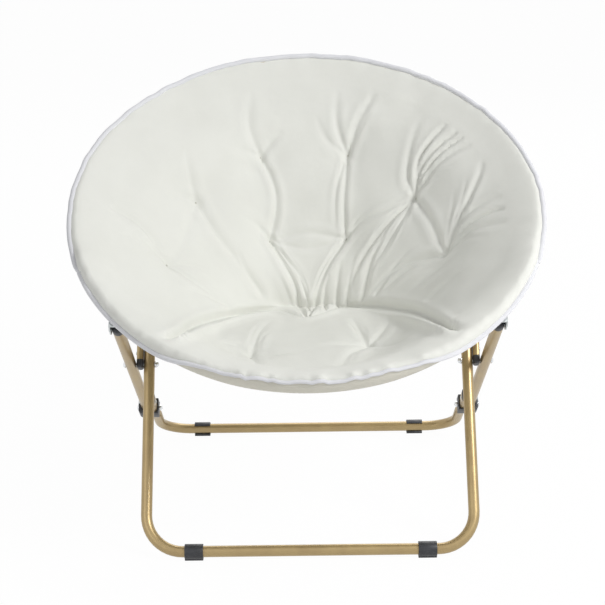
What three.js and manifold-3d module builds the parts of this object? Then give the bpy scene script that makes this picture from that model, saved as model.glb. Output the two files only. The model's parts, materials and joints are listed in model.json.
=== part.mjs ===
import * as THREE from 'three';
import { mergeVertices } from 'three/addons/utils/BufferGeometryUtils.js';
import Module from 'manifold-3d';

// Folding saucer chair, in millimetres, +Z up, +Y to the back.
// The origin is on the floor under the centre of the ring.

const wasm = await Module();
wasm.setup();

// Driving sizes

const tube = { radius: 9.5, wall: 1.2, sides: 12, boreSides: 8 };

const ring = {
  radius: 392,
  height: 543,
  tiltDegrees: 29,
  hingeDegrees: 68,
  frontSteps: 20,
  rearSteps: 32,
  endGap: 0.2,
};

const floorBar = {
  frontReach: 248,
  rearReach: 265,
  bendRadius: 62,
  bendSteps: 6,
};

const foot = {
  length: 31,
  outerRadius: 12.8,
  boreGap: 0.3,
  slotDegrees: 100,
  padWidth: 14,
  drop: 13.5,
  frontOffset: 195,
  rearOffset: 212,
  arcSteps: 10,
};

const legs = {
  frontArm: 275.5,
  crossHeight: 277.5,
  jointHeight: 110,
  frontOverlap: 34,
  frontSecondBolt: 20,
  rearOverlap: 56,
  rearSecondBolt: 40,
  runningGap: 0.5,
  seatGap: 0.3,
};

const pressed = {
  thickness: 12,
  rearThickness: 10,
  width: 24,
  length: 36,
  taper: 26,
  below: 4,
  easeSteps: 3,
  squareShare: 0.6,
};

const splay = { start: 40, endStraight: 66, steps: 3, blend: 40 };

const plug = {
  gap: 0.3,
  spigot: 10,
  cap: 5,
  endSetback: 7,
  lowerEnd: 7.5,
  upperEnd: 9.2,
};

const pivot = {
  frontDegrees: 50,
  rearDegrees: 120,
  drop: 30,
  pinRadius: 3,
  pinGap: 0.3,
  headRadius: 5.5,
  headHeight: 2.2,
  sides: 10,
};

const clevis = {
  plate: 2.5,
  length: 24,
  earRadius: 9,
  sideGap: 0.5,
  seatGap: 0.3,
  arcSteps: 8,
};

const bolt = {
  radius: 3,
  gap: 0.3,
  headRadius: 6.5,
  headHeight: 3.4,
  domeRadius: 6,
  domeHeight: 7,
  rivetHead: 3.4,
  rivetHeight: 1.6,
};

const block = {
  wall: 2,
  outerWall: 5,
  height: 30,
  lowerReach: 16,
  depth: 29,
  slotGap: 0.3,
  corner: 6,
  tubeEnd: 6,
};

const hinge = {
  knuckleRadius: 3,
  pinRadius: 1.6,
  pinGap: 0.2,
  plate: 1.8,
  wrapDegrees: 110,
  saddleLength: 18,
  saddleStart: 9,
  width: 16,
  knuckleGap: 0.4,
  seatGap: 0.3,
  headRadius: 2.2,
  headHeight: 0.8,
  tongue: 16,
  arcSteps: 6,
};

const cushion = {
  innerReach: 26,
  rimDrop: -9,
  rearSlopeShare: 0.7,
  frontSlopeShare: 2,
  slopePower: 2.15,
  seatDrop: 264,
  seatTiltShare: 0.554,
  sideRiseLength: 2222,
  creaseBlend: 26,
  centreThickness: 52,
  rimThickness: 26,
  thickBand: 120,
  rings: 16,
  underRings: 7,
  sectors: 40,
  wingOffset: 262,
  splitGap: 0.4,
  tunnelGap: 0.5,
  hingeBump: 7,
  hingeBumpDegrees: 7,
  pocketGap: 1,
  tuftDepth: 15,
  tuftRadius: 30,
  overrun: 60,
};

// The sleeve round the ring tube: how far out and up from the tube's centre.
const sleeve = { outer: 14, top: 15.5 };

const sleeveShares = [
  [-0.65, 0.9],
  [-0.25, 1],
  [0.3, 0.95],
  [0.85, 0.5],
  [1, -0.1],
  [0.6, -0.75],
  [-0.5, -1],
];

// Tufts: degrees round from the front, and share of the ring's radius.
const tuftShares = [
  { degrees: 160, share: 0.6 },
  { degrees: 120, share: 0.575 },
  { degrees: 143, share: 0.285 },
  { degrees: 85, share: 0.605 },
  { degrees: 31, share: 0.475 },
];

// Shares that shape the small turned and moulded ends.
const rivetCrownShare = 0.6;
const domeWallShare = 0.35;
const domeBaseShare = 0.3;
const domeSteps = 3;
const plugShoulderShare = 0.45;
const plugRoundShare = 0.85;
const plugInsetShare = 0.12;
const plugEndInsetShare = 0.4;
const blockCornerSteps = 3;
const tunnelOverrunDegrees = 1;
const weld = 1e-4;

// Materials

const steel = new THREE.MeshStandardMaterial({ color: 0x9c8455, roughness: 0.38, metalness: 0.85 });
const plastic = new THREE.MeshStandardMaterial({ color: 0x2a2c2e, roughness: 0.55, metalness: 0 });
const zinc = new THREE.MeshStandardMaterial({ color: 0xaab4b4, roughness: 0.35, metalness: 0.9 });
const chrome = new THREE.MeshStandardMaterial({ color: 0xd5d8da, roughness: 0.15, metalness: 1 });
const fabric = new THREE.MeshStandardMaterial({ color: 0xe4e6de, roughness: 0.9, metalness: 0 });

// Places derived from the sizes

const rad = THREE.MathUtils.degToRad;
const tilt = rad(ring.tiltDegrees);

// Turns a place in the ring's plane (along, above) into back and up.
function fromRing(along, above) {
  return new THREE.Vector2(
    along * Math.cos(tilt) - above * Math.sin(tilt),
    ring.height + along * Math.sin(tilt) + above * Math.cos(tilt),
  );
}

// The point of the line from a to b at a height.
function atHeight(a, b, height) {
  return a.clone().lerp(b, (height - a.y) / (b.y - a.y));
}

const frontPivotAlong = -ring.radius * Math.cos(rad(pivot.frontDegrees));
const rearPivotAlong = -ring.radius * Math.cos(rad(pivot.rearDegrees));
const hingeAlong = -ring.radius * Math.cos(rad(ring.hingeDegrees));
const hingeSide = ring.radius * Math.sin(rad(ring.hingeDegrees));
const hingeAbove = tube.radius + hinge.seatGap + hinge.knuckleRadius;

const frontPivot = fromRing(frontPivotAlong, -pivot.drop);
const rearPivot = fromRing(rearPivotAlong, -pivot.drop);
const frontBar = new THREE.Vector2(-floorBar.frontReach, foot.drop);
const rearBar = new THREE.Vector2(floorBar.rearReach, foot.drop);
const crossing = atHeight(rearBar, frontPivot, legs.crossHeight);
const joint = atHeight(rearBar, frontPivot, legs.jointHeight);

// Side planes of the four pairs of arms.
const frontArm = legs.frontArm;
const upperArm = frontArm + tube.radius + legs.seatGap + pressed.thickness / 2;
const outerArm = upperArm + pressed.thickness / 2 + legs.runningGap + tube.radius;
const rearArm = outerArm - tube.radius - legs.runningGap - pressed.rearThickness / 2;
const upperArmTop = ring.radius * Math.sin(rad(pivot.rearDegrees));

const lowerFrontLength = crossing.distanceTo(frontBar);
const upperFrontLength = rearPivot.distanceTo(crossing);
const jointReach = joint.distanceTo(rearBar);
const crossReach = crossing.distanceTo(rearBar);
const rearLength = frontPivot.distanceTo(rearBar);

// How far the line from a to b leans to the back, from upright.
function leanOf(a, b) {
  return Math.atan2(b.x - a.x, b.y - a.y);
}

const frontLean = leanOf(frontBar, crossing);
const upperLean = leanOf(crossing, rearPivot);
const rearLean = leanOf(rearBar, frontPivot);

// Geometry helpers

// A route given by its stations, so that a swept tube steps exactly on them.
class StationPath extends THREE.Curve {
  constructor(stations) {
    super();
    this.stations = stations;
  }

  at(t) {
    return this.stations[Math.round(t * (this.stations.length - 1))];
  }

  getPoint(t, target = new THREE.Vector3()) {
    return target.copy(this.at(t).point);
  }

  getTangent(t, target = new THREE.Vector3()) {
    return target.copy(this.at(t).tangent);
  }

  getUtoTmapping(u) {
    return u;
  }
}

// An arc of the ring in its own flat plane, from one angle to another.
function ringStations(fromDegrees, toDegrees, steps) {
  const stations = [];
  for (let i = 0; i <= steps; i += 1) {
    const angle = rad(fromDegrees + (toDegrees - fromDegrees) * i / steps);
    const sine = Math.sin(angle);
    const cosine = Math.cos(angle);
    stations.push({
      point: new THREE.Vector3(ring.radius * sine, -ring.radius * cosine, 0),
      tangent: new THREE.Vector3(cosine, sine, 0),
    });
  }
  return stations;
}

// A U in its own upright plane: down one arm, along the bar and up the other.
function legStations(side, height) {
  const bend = floorBar.bendRadius;
  const stations = [];
  const add = (x, z, tx, tz) => stations.push({
    point: new THREE.Vector3(x, 0, z),
    tangent: new THREE.Vector3(tx, 0, tz),
  });
  const corner = (sign, start) => {
    for (let i = 0; i <= floorBar.bendSteps; i += 1) {
      const angle = start + Math.PI / 2 * i / floorBar.bendSteps;
      const x = sign * (side - bend) + bend * Math.cos(angle);
      const z = bend + bend * Math.sin(angle);
      add(x, z, -Math.sin(angle), Math.cos(angle));
    }
  };
  add(-side, height, 0, -1);
  corner(-1, Math.PI);
  corner(1, Math.PI * 3 / 2);
  add(side, height, 0, 1);
  return stations;
}

// Points of a section, so that each ring of a sweep has the sides asked for.
function polygonSection(radius, sides, boreRadius, boreSides) {
  const circle = (r, count) => {
    const points = [];
    for (let i = 0; i < count; i += 1) {
      const angle = Math.PI * 2 * (i + 0.5) / count;
      points.push(new THREE.Vector2(r * Math.cos(angle), r * Math.sin(angle)));
    }
    return points;
  };
  const section = new THREE.Shape(circle(radius, sides));
  if (boreRadius) section.holes.push(new THREE.Path(circle(boreRadius, boreSides).reverse()));
  return section;
}

function sweep(section, stations) {
  return new THREE.ExtrudeGeometry(section, {
    steps: stations.length - 1,
    extrudePath: new StationPath(stations),
  });
}

function bareTube(stations) {
  const section = polygonSection(tube.radius, tube.sides, tube.radius - tube.wall, tube.boreSides);
  return sweep(section, stations);
}

// Joins shared corners and turns the faces outward.
function tidy(geometry) {
  const bare = geometry.clone();
  bare.deleteAttribute('normal');
  bare.deleteAttribute('uv');
  const merged = mergeVertices(bare, weld);
  const place = merged.attributes.position;
  const index = merged.index.array;
  const a = new THREE.Vector3();
  const b = new THREE.Vector3();
  const c = new THREE.Vector3();
  let volume = 0;
  for (let i = 0; i < index.length; i += 3) {
    a.fromBufferAttribute(place, index[i]);
    b.fromBufferAttribute(place, index[i + 1]);
    c.fromBufferAttribute(place, index[i + 2]);
    volume += a.dot(b.cross(c));
  }
  if (volume < 0) {
    for (let i = 0; i < index.length; i += 3) {
      const swap = index[i];
      index[i] = index[i + 1];
      index[i + 1] = swap;
    }
  }
  return merged;
}

function solid(geometry) {
  const clean = tidy(geometry);
  return new wasm.Manifold(new wasm.Mesh({
    numProp: 3,
    vertProperties: new Float32Array(clean.attributes.position.array),
    triVerts: new Uint32Array(clean.index.array),
  }));
}

function fromSolid(body) {
  const mesh = body.getMesh();
  const geometry = new THREE.BufferGeometry();
  const places = new Float32Array(mesh.numVert * 3);
  for (let i = 0; i < mesh.numVert; i += 1) {
    for (let k = 0; k < 3; k += 1) places[i * 3 + k] = mesh.vertProperties[i * mesh.numProp + k];
  }
  geometry.setAttribute('position', new THREE.BufferAttribute(places, 3));
  geometry.setIndex(new THREE.BufferAttribute(new Uint32Array(mesh.triVerts), 1));
  geometry.computeVertexNormals();
  return geometry;
}

function cut(geometry, ...tools) {
  return fromSolid(tools.reduce((body, tool) => body.subtract(solid(tool)), solid(geometry)));
}

function join(first, ...others) {
  return fromSolid(others.reduce((body, other) => body.add(solid(other)), solid(first)));
}

// A rod along X, centred on a point.
function rodX(radius, length, x, y, z, sides = pivot.sides) {
  const rod = new THREE.CylinderGeometry(radius, radius, length, sides);
  rod.rotateZ(Math.PI / 2);
  rod.translate(x, y, z);
  return rod;
}

function box(x, y, z, width, depth, height) {
  const geometry = new THREE.BoxGeometry(width, depth, height);
  geometry.translate(x, y, z);
  return geometry;
}

// A turned piece along X. The profile holds [distance along X, radius].
function turnedX(profile, sides = pivot.sides) {
  const points = profile.map(([x, radius]) => new THREE.Vector2(radius, x));
  const geometry = new THREE.LatheGeometry(points, sides);
  geometry.rotateZ(-Math.PI / 2);
  return geometry;
}

// A flat shape drawn in back and up, given a width along X about its middle.
function plateX(shape, width, x) {
  const geometry = new THREE.ExtrudeGeometry(shape, {
    depth: width,
    bevelEnabled: false,
    curveSegments: clevis.arcSteps,
  });
  const turn = new THREE.Matrix4().makeBasis(
    new THREE.Vector3(0, 1, 0),
    new THREE.Vector3(0, 0, 1),
    new THREE.Vector3(1, 0, 0),
  );
  geometry.applyMatrix4(turn);
  geometry.translate(x - width / 2, 0, 0);
  return geometry;
}

// A flattened section: half as thick and wide as asked, softly squared.
function flatRing(x, z, halfThick, halfWide, squareShare, sides) {
  const points = [];
  for (let i = 0; i < sides; i += 1) {
    const angle = Math.PI * 2 * (i + 0.5) / sides;
    const across = Math.cos(angle);
    const along = Math.sin(angle);
    points.push(new THREE.Vector3(
      x + halfThick * Math.sign(across) * Math.abs(across) ** squareShare,
      halfWide * along,
      z,
    ));
  }
  return points;
}

// Skins rings of points into a closed piece, hollow where inner rings are given.
function skin(outer, inner) {
  const places = [];
  const index = [];
  const put = (rings) => {
    const starts = [];
    for (const points of rings) {
      starts.push(places.length / 3);
      for (const point of points) places.push(point.x, point.y, point.z);
    }
    return starts;
  };
  const wall = (starts, sides, flip) => {
    for (let r = 0; r + 1 < starts.length; r += 1) {
      for (let i = 0; i < sides; i += 1) {
        const j = (i + 1) % sides;
        const [a, b] = [starts[r] + i, starts[r] + j];
        const [c, d] = [starts[r + 1] + i, starts[r + 1] + j];
        if (flip) index.push(a, c, b, b, c, d);
        else index.push(a, b, c, b, d, c);
      }
    }
  };
  const cap = (start, sides, flip) => {
    for (let i = 1; i + 1 < sides; i += 1) {
      if (flip) index.push(start, start + i + 1, start + i);
      else index.push(start, start + i, start + i + 1);
    }
  };
  const rim = (outerStart, innerStart, sides, flip) => {
    for (let i = 0; i < sides; i += 1) {
      const j = (i + 1) % sides;
      const [a, b] = [outerStart + i, outerStart + j];
      const [c, d] = [innerStart + i, innerStart + j];
      if (flip) index.push(a, c, b, b, c, d);
      else index.push(a, b, c, b, d, c);
    }
  };
  const sides = outer[0].length;
  const outerStarts = put(outer);
  wall(outerStarts, sides, false);
  if (inner) {
    const innerStarts = put(inner);
    wall(innerStarts, sides, true);
    rim(outerStarts[0], innerStarts[0], sides, true);
    rim(outerStarts.at(-1), innerStarts.at(-1), sides, false);
  } else {
    cap(outerStarts[0], sides, true);
    cap(outerStarts.at(-1), sides, false);
  }
  const geometry = new THREE.BufferGeometry();
  geometry.setAttribute('position', new THREE.Float32BufferAttribute(places, 3));
  geometry.setIndex(index);
  geometry.computeVertexNormals();
  return geometry;
}

// Assembling

function part(name, geometry, material) {
  const mesh = new THREE.Mesh(geometry, material);
  mesh.name = name;
  return mesh;
}

const sideNames = { '-1': 'left', 1: 'right' };

function named(name, side) {
  return `${name}_${sideNames[side]}`;
}

// Builds a right-hand piece and mirrors it for the left.
function sided(geometry, side) {
  if (side > 0) return geometry;
  const copy = geometry.clone();
  copy.scale(-1, 1, 1);
  const turned = tidy(copy);
  turned.computeVertexNormals();
  return turned;
}

function pair(group, name, geometry, material) {
  for (const side of [-1, 1]) group.add(part(named(name, side), sided(geometry, side), material));
}

// The leg tubes

// One ring of points square to a station, pressed flat by its share.
function sectionRing(station, thickness, inset, sides) {
  const press = station.press ?? 0;
  const half = THREE.MathUtils.lerp(tube.radius, thickness / 2, press) - inset;
  const wide = THREE.MathUtils.lerp(tube.radius, pressed.width / 2, press) - inset;
  const square = THREE.MathUtils.lerp(1, pressed.squareShare, press);
  const across = new THREE.Vector3(station.tangent.z, 0, -station.tangent.x);
  const flat = flatRing(0, 0, half, wide, square, sides);
  return flat.map((p) => station.point.clone().addScaledVector(across, p.x).setY(p.y));
}

function legTube(stations, thickness = pressed.thickness) {
  const outer = stations.map((s) => sectionRing(s, thickness, 0, tube.sides));
  const inner = stations.map((s) => sectionRing(s, thickness, tube.wall, tube.sides));
  return tidy(skin(outer, inner));
}

// A straight length, pressed at one end and easing back to round.
function pressedRun(x, from, to, ease) {
  const sign = Math.sign(to - from);
  const stations = [{ z: from, press: 1 }, { z: to, press: 1 }];
  for (let i = 1; i <= pressed.easeSteps; i += 1) {
    const share = i / pressed.easeSteps;
    stations.push({ z: to + sign * ease * share, press: 1 - THREE.MathUtils.smoothstep(share, 0, 1) });
  }
  return stations.map((s) => ({
    point: new THREE.Vector3(x, 0, s.z),
    tangent: new THREE.Vector3(0, 0, sign),
    press: s.press,
  }));
}

// The upper arm: pressed at the crossing, then splayed out to its clevis.
function upperArmStations() {
  const reach = upperArmTop - upperArm;
  const from = splay.start;
  const to = upperFrontLength - splay.endStraight;
  const slope = reach / (to - from - splay.blend);
  const outward = (z) => {
    if (z <= from) return 0;
    if (z < from + splay.blend) return slope * (z - from) ** 2 / (2 * splay.blend);
    if (z < to - splay.blend) return slope * (z - from - splay.blend / 2);
    if (z < to) return reach - slope * (to - z) ** 2 / (2 * splay.blend);
    return reach;
  };
  const lean = (z) => {
    const enter = THREE.MathUtils.clamp((z - from) / splay.blend, 0, 1);
    const leave = THREE.MathUtils.clamp((to - z) / splay.blend, 0, 1);
    return slope * Math.min(enter, leave);
  };
  const heights = [plug.endSetback, pressed.length];
  for (let i = 1; i <= pressed.easeSteps; i += 1) {
    heights.push(pressed.length + pressed.taper * i / pressed.easeSteps);
  }
  const easeEnd = pressed.length + pressed.taper;
  heights.push(from + splay.blend);
  for (let i = 0; i <= splay.steps; i += 1) heights.push(to - splay.blend + splay.blend * i / splay.steps);
  heights.push(upperFrontLength - plug.endSetback);
  return heights.sort((a, b) => a - b).map((z) => ({
    point: new THREE.Vector3(upperArm + outward(z), 0, z),
    tangent: new THREE.Vector3(lean(z), 0, 1).normalize(),
    press: 1 - THREE.MathUtils.smoothstep(z, pressed.length, easeEnd),
  }));
}

function boltHole(x, z, y = 0) {
  return rodX(bolt.radius + bolt.gap, cushion.overrun, x, y, z);
}

// Fastenings, all turned about X on the right-hand side

// A stout pin from one place to another with a low head at each end.
function rivetX(from, to, radius, headRadius, headHeight) {
  const crown = headRadius * rivetCrownShare;
  return turnedX([
    [from - headHeight, 0],
    [from - headHeight, crown],
    [from, headRadius],
    [from, radius],
    [to, radius],
    [to, headRadius],
    [to + headHeight, crown],
    [to + headHeight, 0],
  ]);
}

function boltX(from, face, headHeight) {
  const crown = bolt.headRadius * rivetCrownShare;
  return turnedX([
    [from, 0],
    [from, bolt.radius],
    [face, bolt.radius],
    [face, bolt.headRadius],
    [face + headHeight, crown],
    [face + headHeight, 0],
  ]);
}

// A domed nut whose open face looks outward at the given place.
function domeNutX(face) {
  const depth = bolt.domeHeight - bolt.domeRadius * domeWallShare;
  const profile = [[face - depth, 0], [face - depth, bolt.radius + bolt.gap], [face, bolt.radius + bolt.gap]];
  profile.push([face, bolt.domeRadius]);
  const straight = bolt.domeHeight * domeBaseShare;
  profile.push([face - straight, bolt.domeRadius]);
  for (let i = 1; i <= domeSteps; i += 1) {
    const angle = Math.PI / 2 * i / domeSteps;
    const x = face - straight - (bolt.domeHeight - straight) * Math.sin(angle);
    profile.push([x, i === domeSteps ? 0 : bolt.domeRadius * Math.cos(angle)]);
  }
  return turnedX(profile.reverse());
}

// Plugs

// A plug: a spigot inside the tube and a visible end, both along Z.
function plugBody(x, mouth, end, sign, press, thickness = pressed.thickness) {
  const station = (z, inset) => ({
    ring: sectionRing(
      { point: new THREE.Vector3(x, 0, z), tangent: new THREE.Vector3(0, 0, 1), press },
      thickness,
      inset,
      tube.sides,
    ),
  });
  const inner = tube.wall + plug.gap;
  const lip = mouth + sign * plug.gap;
  const rise = (end - lip) * sign;
  const rings = [
    station(mouth - sign * plug.spigot, inner),
    station(lip, inner),
    station(lip, 0),
    station(lip + sign * rise * plugShoulderShare, 0),
    station(lip + sign * rise * plugRoundShare, tube.radius * plugInsetShare),
    station(end, tube.radius * plugEndInsetShare),
  ];
  if (sign < 0) rings.reverse();
  return tidy(skin(rings.map((r) => r.ring)));
}

// Feet

// A snap clip seen from its end, open towards the back or the front.
function footShape(open) {
  const outer = foot.outerRadius;
  const bore = tube.radius + foot.boreGap;
  const half = rad(foot.slotDegrees / 2);
  const pad = foot.padWidth / 2;
  const padAngle = Math.acos(pad / outer);
  const points = [];
  const arc = (radius, from, to, steps) => {
    for (let i = 0; i <= steps; i += 1) {
      const angle = from + (to - from) * i / steps;
      points.push(new THREE.Vector2(open * radius * Math.cos(angle), radius * Math.sin(angle)));
    }
  };
  arc(outer, half, Math.PI + padAngle, foot.arcSteps);
  points.push(new THREE.Vector2(-open * pad, -foot.drop));
  points.push(new THREE.Vector2(open * pad, -foot.drop));
  const last = Math.PI * 2 - half;
  if (Math.PI * 2 - padAngle < last) arc(outer, Math.PI * 2 - padAngle, last, 1);
  else points.push(new THREE.Vector2(open * outer * Math.cos(last), outer * Math.sin(last)));
  arc(bore, last, half, foot.arcSteps);
  return new THREE.Shape(points);
}

function footClip(open, offset, bar) {
  const clip = plateX(footShape(open), foot.length, offset);
  clip.translate(0, bar.x, bar.y);
  return clip;
}

// The ring's clevises, in the ring's own flat frame

function clevisBody(x, along) {
  const half = tube.radius + clevis.sideGap;
  const top = pivot.drop - tube.radius - clevis.seatGap;
  const ear = new THREE.Shape();
  ear.moveTo(-clevis.length / 2, top);
  ear.lineTo(-clevis.length / 2, top - clevis.earRadius);
  ear.lineTo(-clevis.earRadius, 0);
  ear.absarc(0, 0, clevis.earRadius, Math.PI, Math.PI * 2);
  ear.lineTo(clevis.length / 2, top - clevis.earRadius);
  ear.lineTo(clevis.length / 2, top);
  const offset = half + clevis.plate / 2;
  const width = half + clevis.plate;
  const web = box(0, 0, top - clevis.plate / 2, width * 2, clevis.length, clevis.plate);
  const body = join(
    web,
    plateX(ear, clevis.plate, -offset),
    plateX(ear, clevis.plate, offset),
  );
  const bored = cut(body, rodX(pivot.pinRadius + pivot.pinGap, cushion.overrun, 0, 0, 0));
  bored.translate(x, along, -pivot.drop);
  return bored;
}

function clevisPin(x, along) {
  const reach = tube.radius + clevis.sideGap + clevis.plate + legs.seatGap;
  const pin = rivetX(-reach, reach, pivot.pinRadius, pivot.headRadius, pivot.headHeight);
  pin.translate(x, along, -pivot.drop);
  return pin;
}

// The ring's hinges

// A saddle on top of the tube, centred a little way round from the joint.
function saddle(sign) {
  const shape = new THREE.Shape();
  const inner = tube.radius + hinge.seatGap;
  const outer = inner + hinge.plate;
  const half = rad(hinge.wrapDegrees / 2);
  const points = [];
  for (let i = 0; i <= hinge.arcSteps; i += 1) {
    const angle = Math.PI / 2 - half + 2 * half * i / hinge.arcSteps;
    points.push(new THREE.Vector2(outer * Math.cos(angle), outer * Math.sin(angle)));
  }
  for (let i = hinge.arcSteps; i >= 0; i -= 1) {
    const angle = Math.PI / 2 - half + 2 * half * i / hinge.arcSteps;
    points.push(new THREE.Vector2(inner * Math.cos(angle), inner * Math.sin(angle)));
  }
  shape.setFromPoints(points);
  const geometry = new THREE.ExtrudeGeometry(shape, { depth: hinge.saddleLength, bevelEnabled: false });
  geometry.rotateX(Math.PI / 2);
  geometry.translate(0, hinge.saddleLength / 2, 0);
  return seatOnTube(geometry, sign);
}

// Moves a piece made along Y to its place on the tube's first straight length.
function seatOnTube(geometry, sign) {
  const rearStep = (360 - ring.hingeDegrees * 2) / ring.rearSteps;
  const step = sign > 0 ? rearStep : ring.hingeDegrees * 2 / ring.frontSteps;
  geometry.translate(0, sign * (hinge.saddleStart + hinge.saddleLength / 2), 0);
  geometry.rotateZ(rad(ring.hingeDegrees + sign * step / 2 - 90));
  geometry.translate(hingeSide, hingeAlong, 0);
  return geometry;
}

function hingeLeaf(sign) {
  const third = hinge.width / 3;
  const spans = sign > 0 ? [[-third / 2, third / 2]] : [
    [-hinge.width / 2, -third / 2 - hinge.knuckleGap],
    [third / 2 + hinge.knuckleGap, hinge.width / 2],
  ];
  const low = tube.radius + hinge.seatGap;
  const clear = hinge.knuckleRadius + hinge.knuckleGap * 2;
  const plateLength = hinge.tongue - clear;
  const level = low + hinge.plate / 2;
  const middle = hingeAlong + sign * (clear + plateLength / 2);
  const plate = box(hingeSide, middle, level, hinge.width, plateLength, hinge.plate);
  const bits = [];
  for (const [from, to] of spans) {
    const x = hingeSide + (from + to) / 2;
    bits.push(rodX(hinge.knuckleRadius, to - from, x, hingeAlong, hingeAbove));
    const reach = clear + hinge.plate;
    bits.push(box(x, hingeAlong + sign * reach / 2, level, to - from, reach, hinge.plate));
  }
  const leaf = join(plate, saddle(sign), ...bits);
  const bore = rodX(hinge.pinRadius + hinge.pinGap, hinge.width * 2, hingeSide, hingeAlong, hingeAbove);
  return cut(leaf, bore);
}

function hingePin() {
  const reach = hinge.width / 2 + hinge.pinGap;
  const pin = rivetX(-reach, reach, hinge.pinRadius, hinge.headRadius, hinge.headHeight);
  pin.translate(hingeSide, hingeAlong, hingeAbove);
  return pin;
}

// The joint block at the rear leg's outer arm

function jointBlock() {
  const inner = rearArm - pressed.rearThickness / 2 - block.slotGap - block.wall;
  const outer = outerArm + tube.radius + block.slotGap + block.outerWall;
  const half = block.depth / 2;
  const corner = block.corner;
  const outline = new THREE.Shape();
  outline.moveTo(inner, -half);
  outline.lineTo(outer - corner, -half);
  outline.absarc(outer - corner, -half + corner, corner, -Math.PI / 2, 0);
  outline.absarc(outer - corner, half - corner, corner, 0, Math.PI / 2);
  outline.lineTo(inner, half);
  const bottom = jointReach - block.lowerReach;
  const body = new THREE.ExtrudeGeometry(outline, {
    depth: block.height,
    bevelEnabled: false,
    curveSegments: blockCornerSteps,
  });
  body.translate(0, 0, bottom);
  const slot = skin([bottom - cushion.overrun, bottom + block.height + cushion.overrun].map((z) => sectionRing(
    { point: new THREE.Vector3(rearArm, 0, z), tangent: new THREE.Vector3(0, 0, 1), press: 1 },
    pressed.rearThickness,
    -block.slotGap,
    tube.sides,
  )));
  const floor = jointReach - block.tubeEnd - block.slotGap;
  const socket = skin([floor, bottom + block.height + cushion.overrun].map((z) => sectionRing(
    { point: new THREE.Vector3(outerArm, 0, z), tangent: new THREE.Vector3(0, 0, 1) },
    pressed.rearThickness,
    -block.slotGap,
    tube.sides,
  )));
  return cut(body, slot, socket, boltHole((inner + outer) / 2, jointReach));
}

// The cushion, in the ring's own flat frame

function bowlHeight(x, along) {
  const reach = Math.hypot(x, along);
  const cosine = reach > 0 ? -along / reach : 0;
  const front = ((1 + cosine) / 2) ** cushion.slopePower;
  const slope = THREE.MathUtils.lerp(cushion.rearSlopeShare, cushion.frontSlopeShare, front);
  const rim = ring.radius - cushion.innerReach;
  const wall = -cushion.rimDrop - slope * (rim - reach);
  const seat = -cushion.seatDrop - cushion.seatTiltShare * along + x * x / cushion.sideRiseLength;
  return (wall + seat + Math.hypot(wall - seat, cushion.creaseBlend)) / 2;
}

function tuftDip(x, along) {
  let dip = 0;
  for (const tuft of tuftShares) {
    for (const side of [-1, 1]) {
      const tx = side * ring.radius * tuft.share * Math.sin(rad(tuft.degrees));
      const ta = -ring.radius * tuft.share * Math.cos(rad(tuft.degrees));
      const away = Math.hypot(x - tx, along - ta) / cushion.tuftRadius;
      dip += Math.exp(-away * away);
    }
  }
  return cushion.tuftDepth * dip;
}

function bowlThickness(reach) {
  const rim = ring.radius - cushion.innerReach;
  const share = THREE.MathUtils.smoothstep((rim - reach) / cushion.thickBand, 0, 1);
  return THREE.MathUtils.lerp(cushion.rimThickness, cushion.centreThickness, share);
}

function hingeSwell(angle) {
  const round = Math.abs(THREE.MathUtils.euclideanModulo(angle + Math.PI, Math.PI * 2) - Math.PI);
  const away = (round - rad(ring.hingeDegrees)) / rad(cushion.hingeBumpDegrees);
  return cushion.hingeBump * Math.exp(-away * away);
}

// One sector's line of points, from the middle over the rim and back underneath.
function cushionLine(angle) {
  const sine = Math.sin(angle);
  const cosine = Math.cos(angle);
  const rim = ring.radius - cushion.innerReach;
  const line = [];
  const put = (reach, above) => line.push(new THREE.Vector3(reach * sine, -reach * cosine, above));
  for (let i = 1; i <= cushion.rings; i += 1) {
    const reach = rim * i / cushion.rings;
    const x = reach * sine;
    const along = -reach * cosine;
    put(reach, bowlHeight(x, along) - tuftDip(x, along));
  }
  const swell = hingeSwell(angle);
  for (const [outShare, upShare] of sleeveShares) {
    const up = sleeve.top * upShare + swell * Math.max(upShare, 0);
    put(ring.radius + sleeve.outer * outShare, up);
  }
  for (let i = cushion.underRings; i >= 1; i -= 1) {
    const reach = rim * i / cushion.underRings;
    put(reach, bowlHeight(reach * sine, -reach * cosine) - bowlThickness(reach));
  }
  return line;
}

function wholeCushion() {
  const lines = [];
  for (let i = 0; i < cushion.sectors; i += 1) {
    lines.push(cushionLine(Math.PI * 2 * i / cushion.sectors));
  }
  const count = lines[0].length;
  const places = [];
  for (const line of lines) for (const point of line) places.push(point.x, point.y, point.z);
  const top = places.length / 3;
  const middle = bowlHeight(0, 0);
  places.push(0, 0, middle, 0, 0, middle - cushion.centreThickness);
  const index = [];
  for (let i = 0; i < cushion.sectors; i += 1) {
    const a = i * count;
    const b = (i + 1) % cushion.sectors * count;
    index.push(top, a, b);
    for (let k = 0; k + 1 < count; k += 1) index.push(a + k, a + k + 1, b + k, b + k, a + k + 1, b + k + 1);
    index.push(top + 1, b + count - 1, a + count - 1);
  }
  const geometry = new THREE.BufferGeometry();
  geometry.setAttribute('position', new THREE.Float32BufferAttribute(places, 3));
  geometry.setIndex(index);
  return geometry;
}

function tunnelTools() {
  const section = polygonSection(tube.radius + cushion.tunnelGap, tube.sides);
  const over = tunnelOverrunDegrees;
  const limit = ring.hingeDegrees;
  const front = ringStations(-limit, limit, ring.frontSteps);
  const rear = ringStations(limit, 360 - limit, ring.rearSteps);
  const lengthened = (stations, from, to) => [
    ...ringStations(from - over, from, 1).slice(0, 1),
    ...stations,
    ...ringStations(to, to + over, 1).slice(1),
  ];
  return [
    sweep(section, lengthened(front, -limit, limit)),
    sweep(section, lengthened(rear, limit, 360 - limit)),
  ];
}

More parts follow.
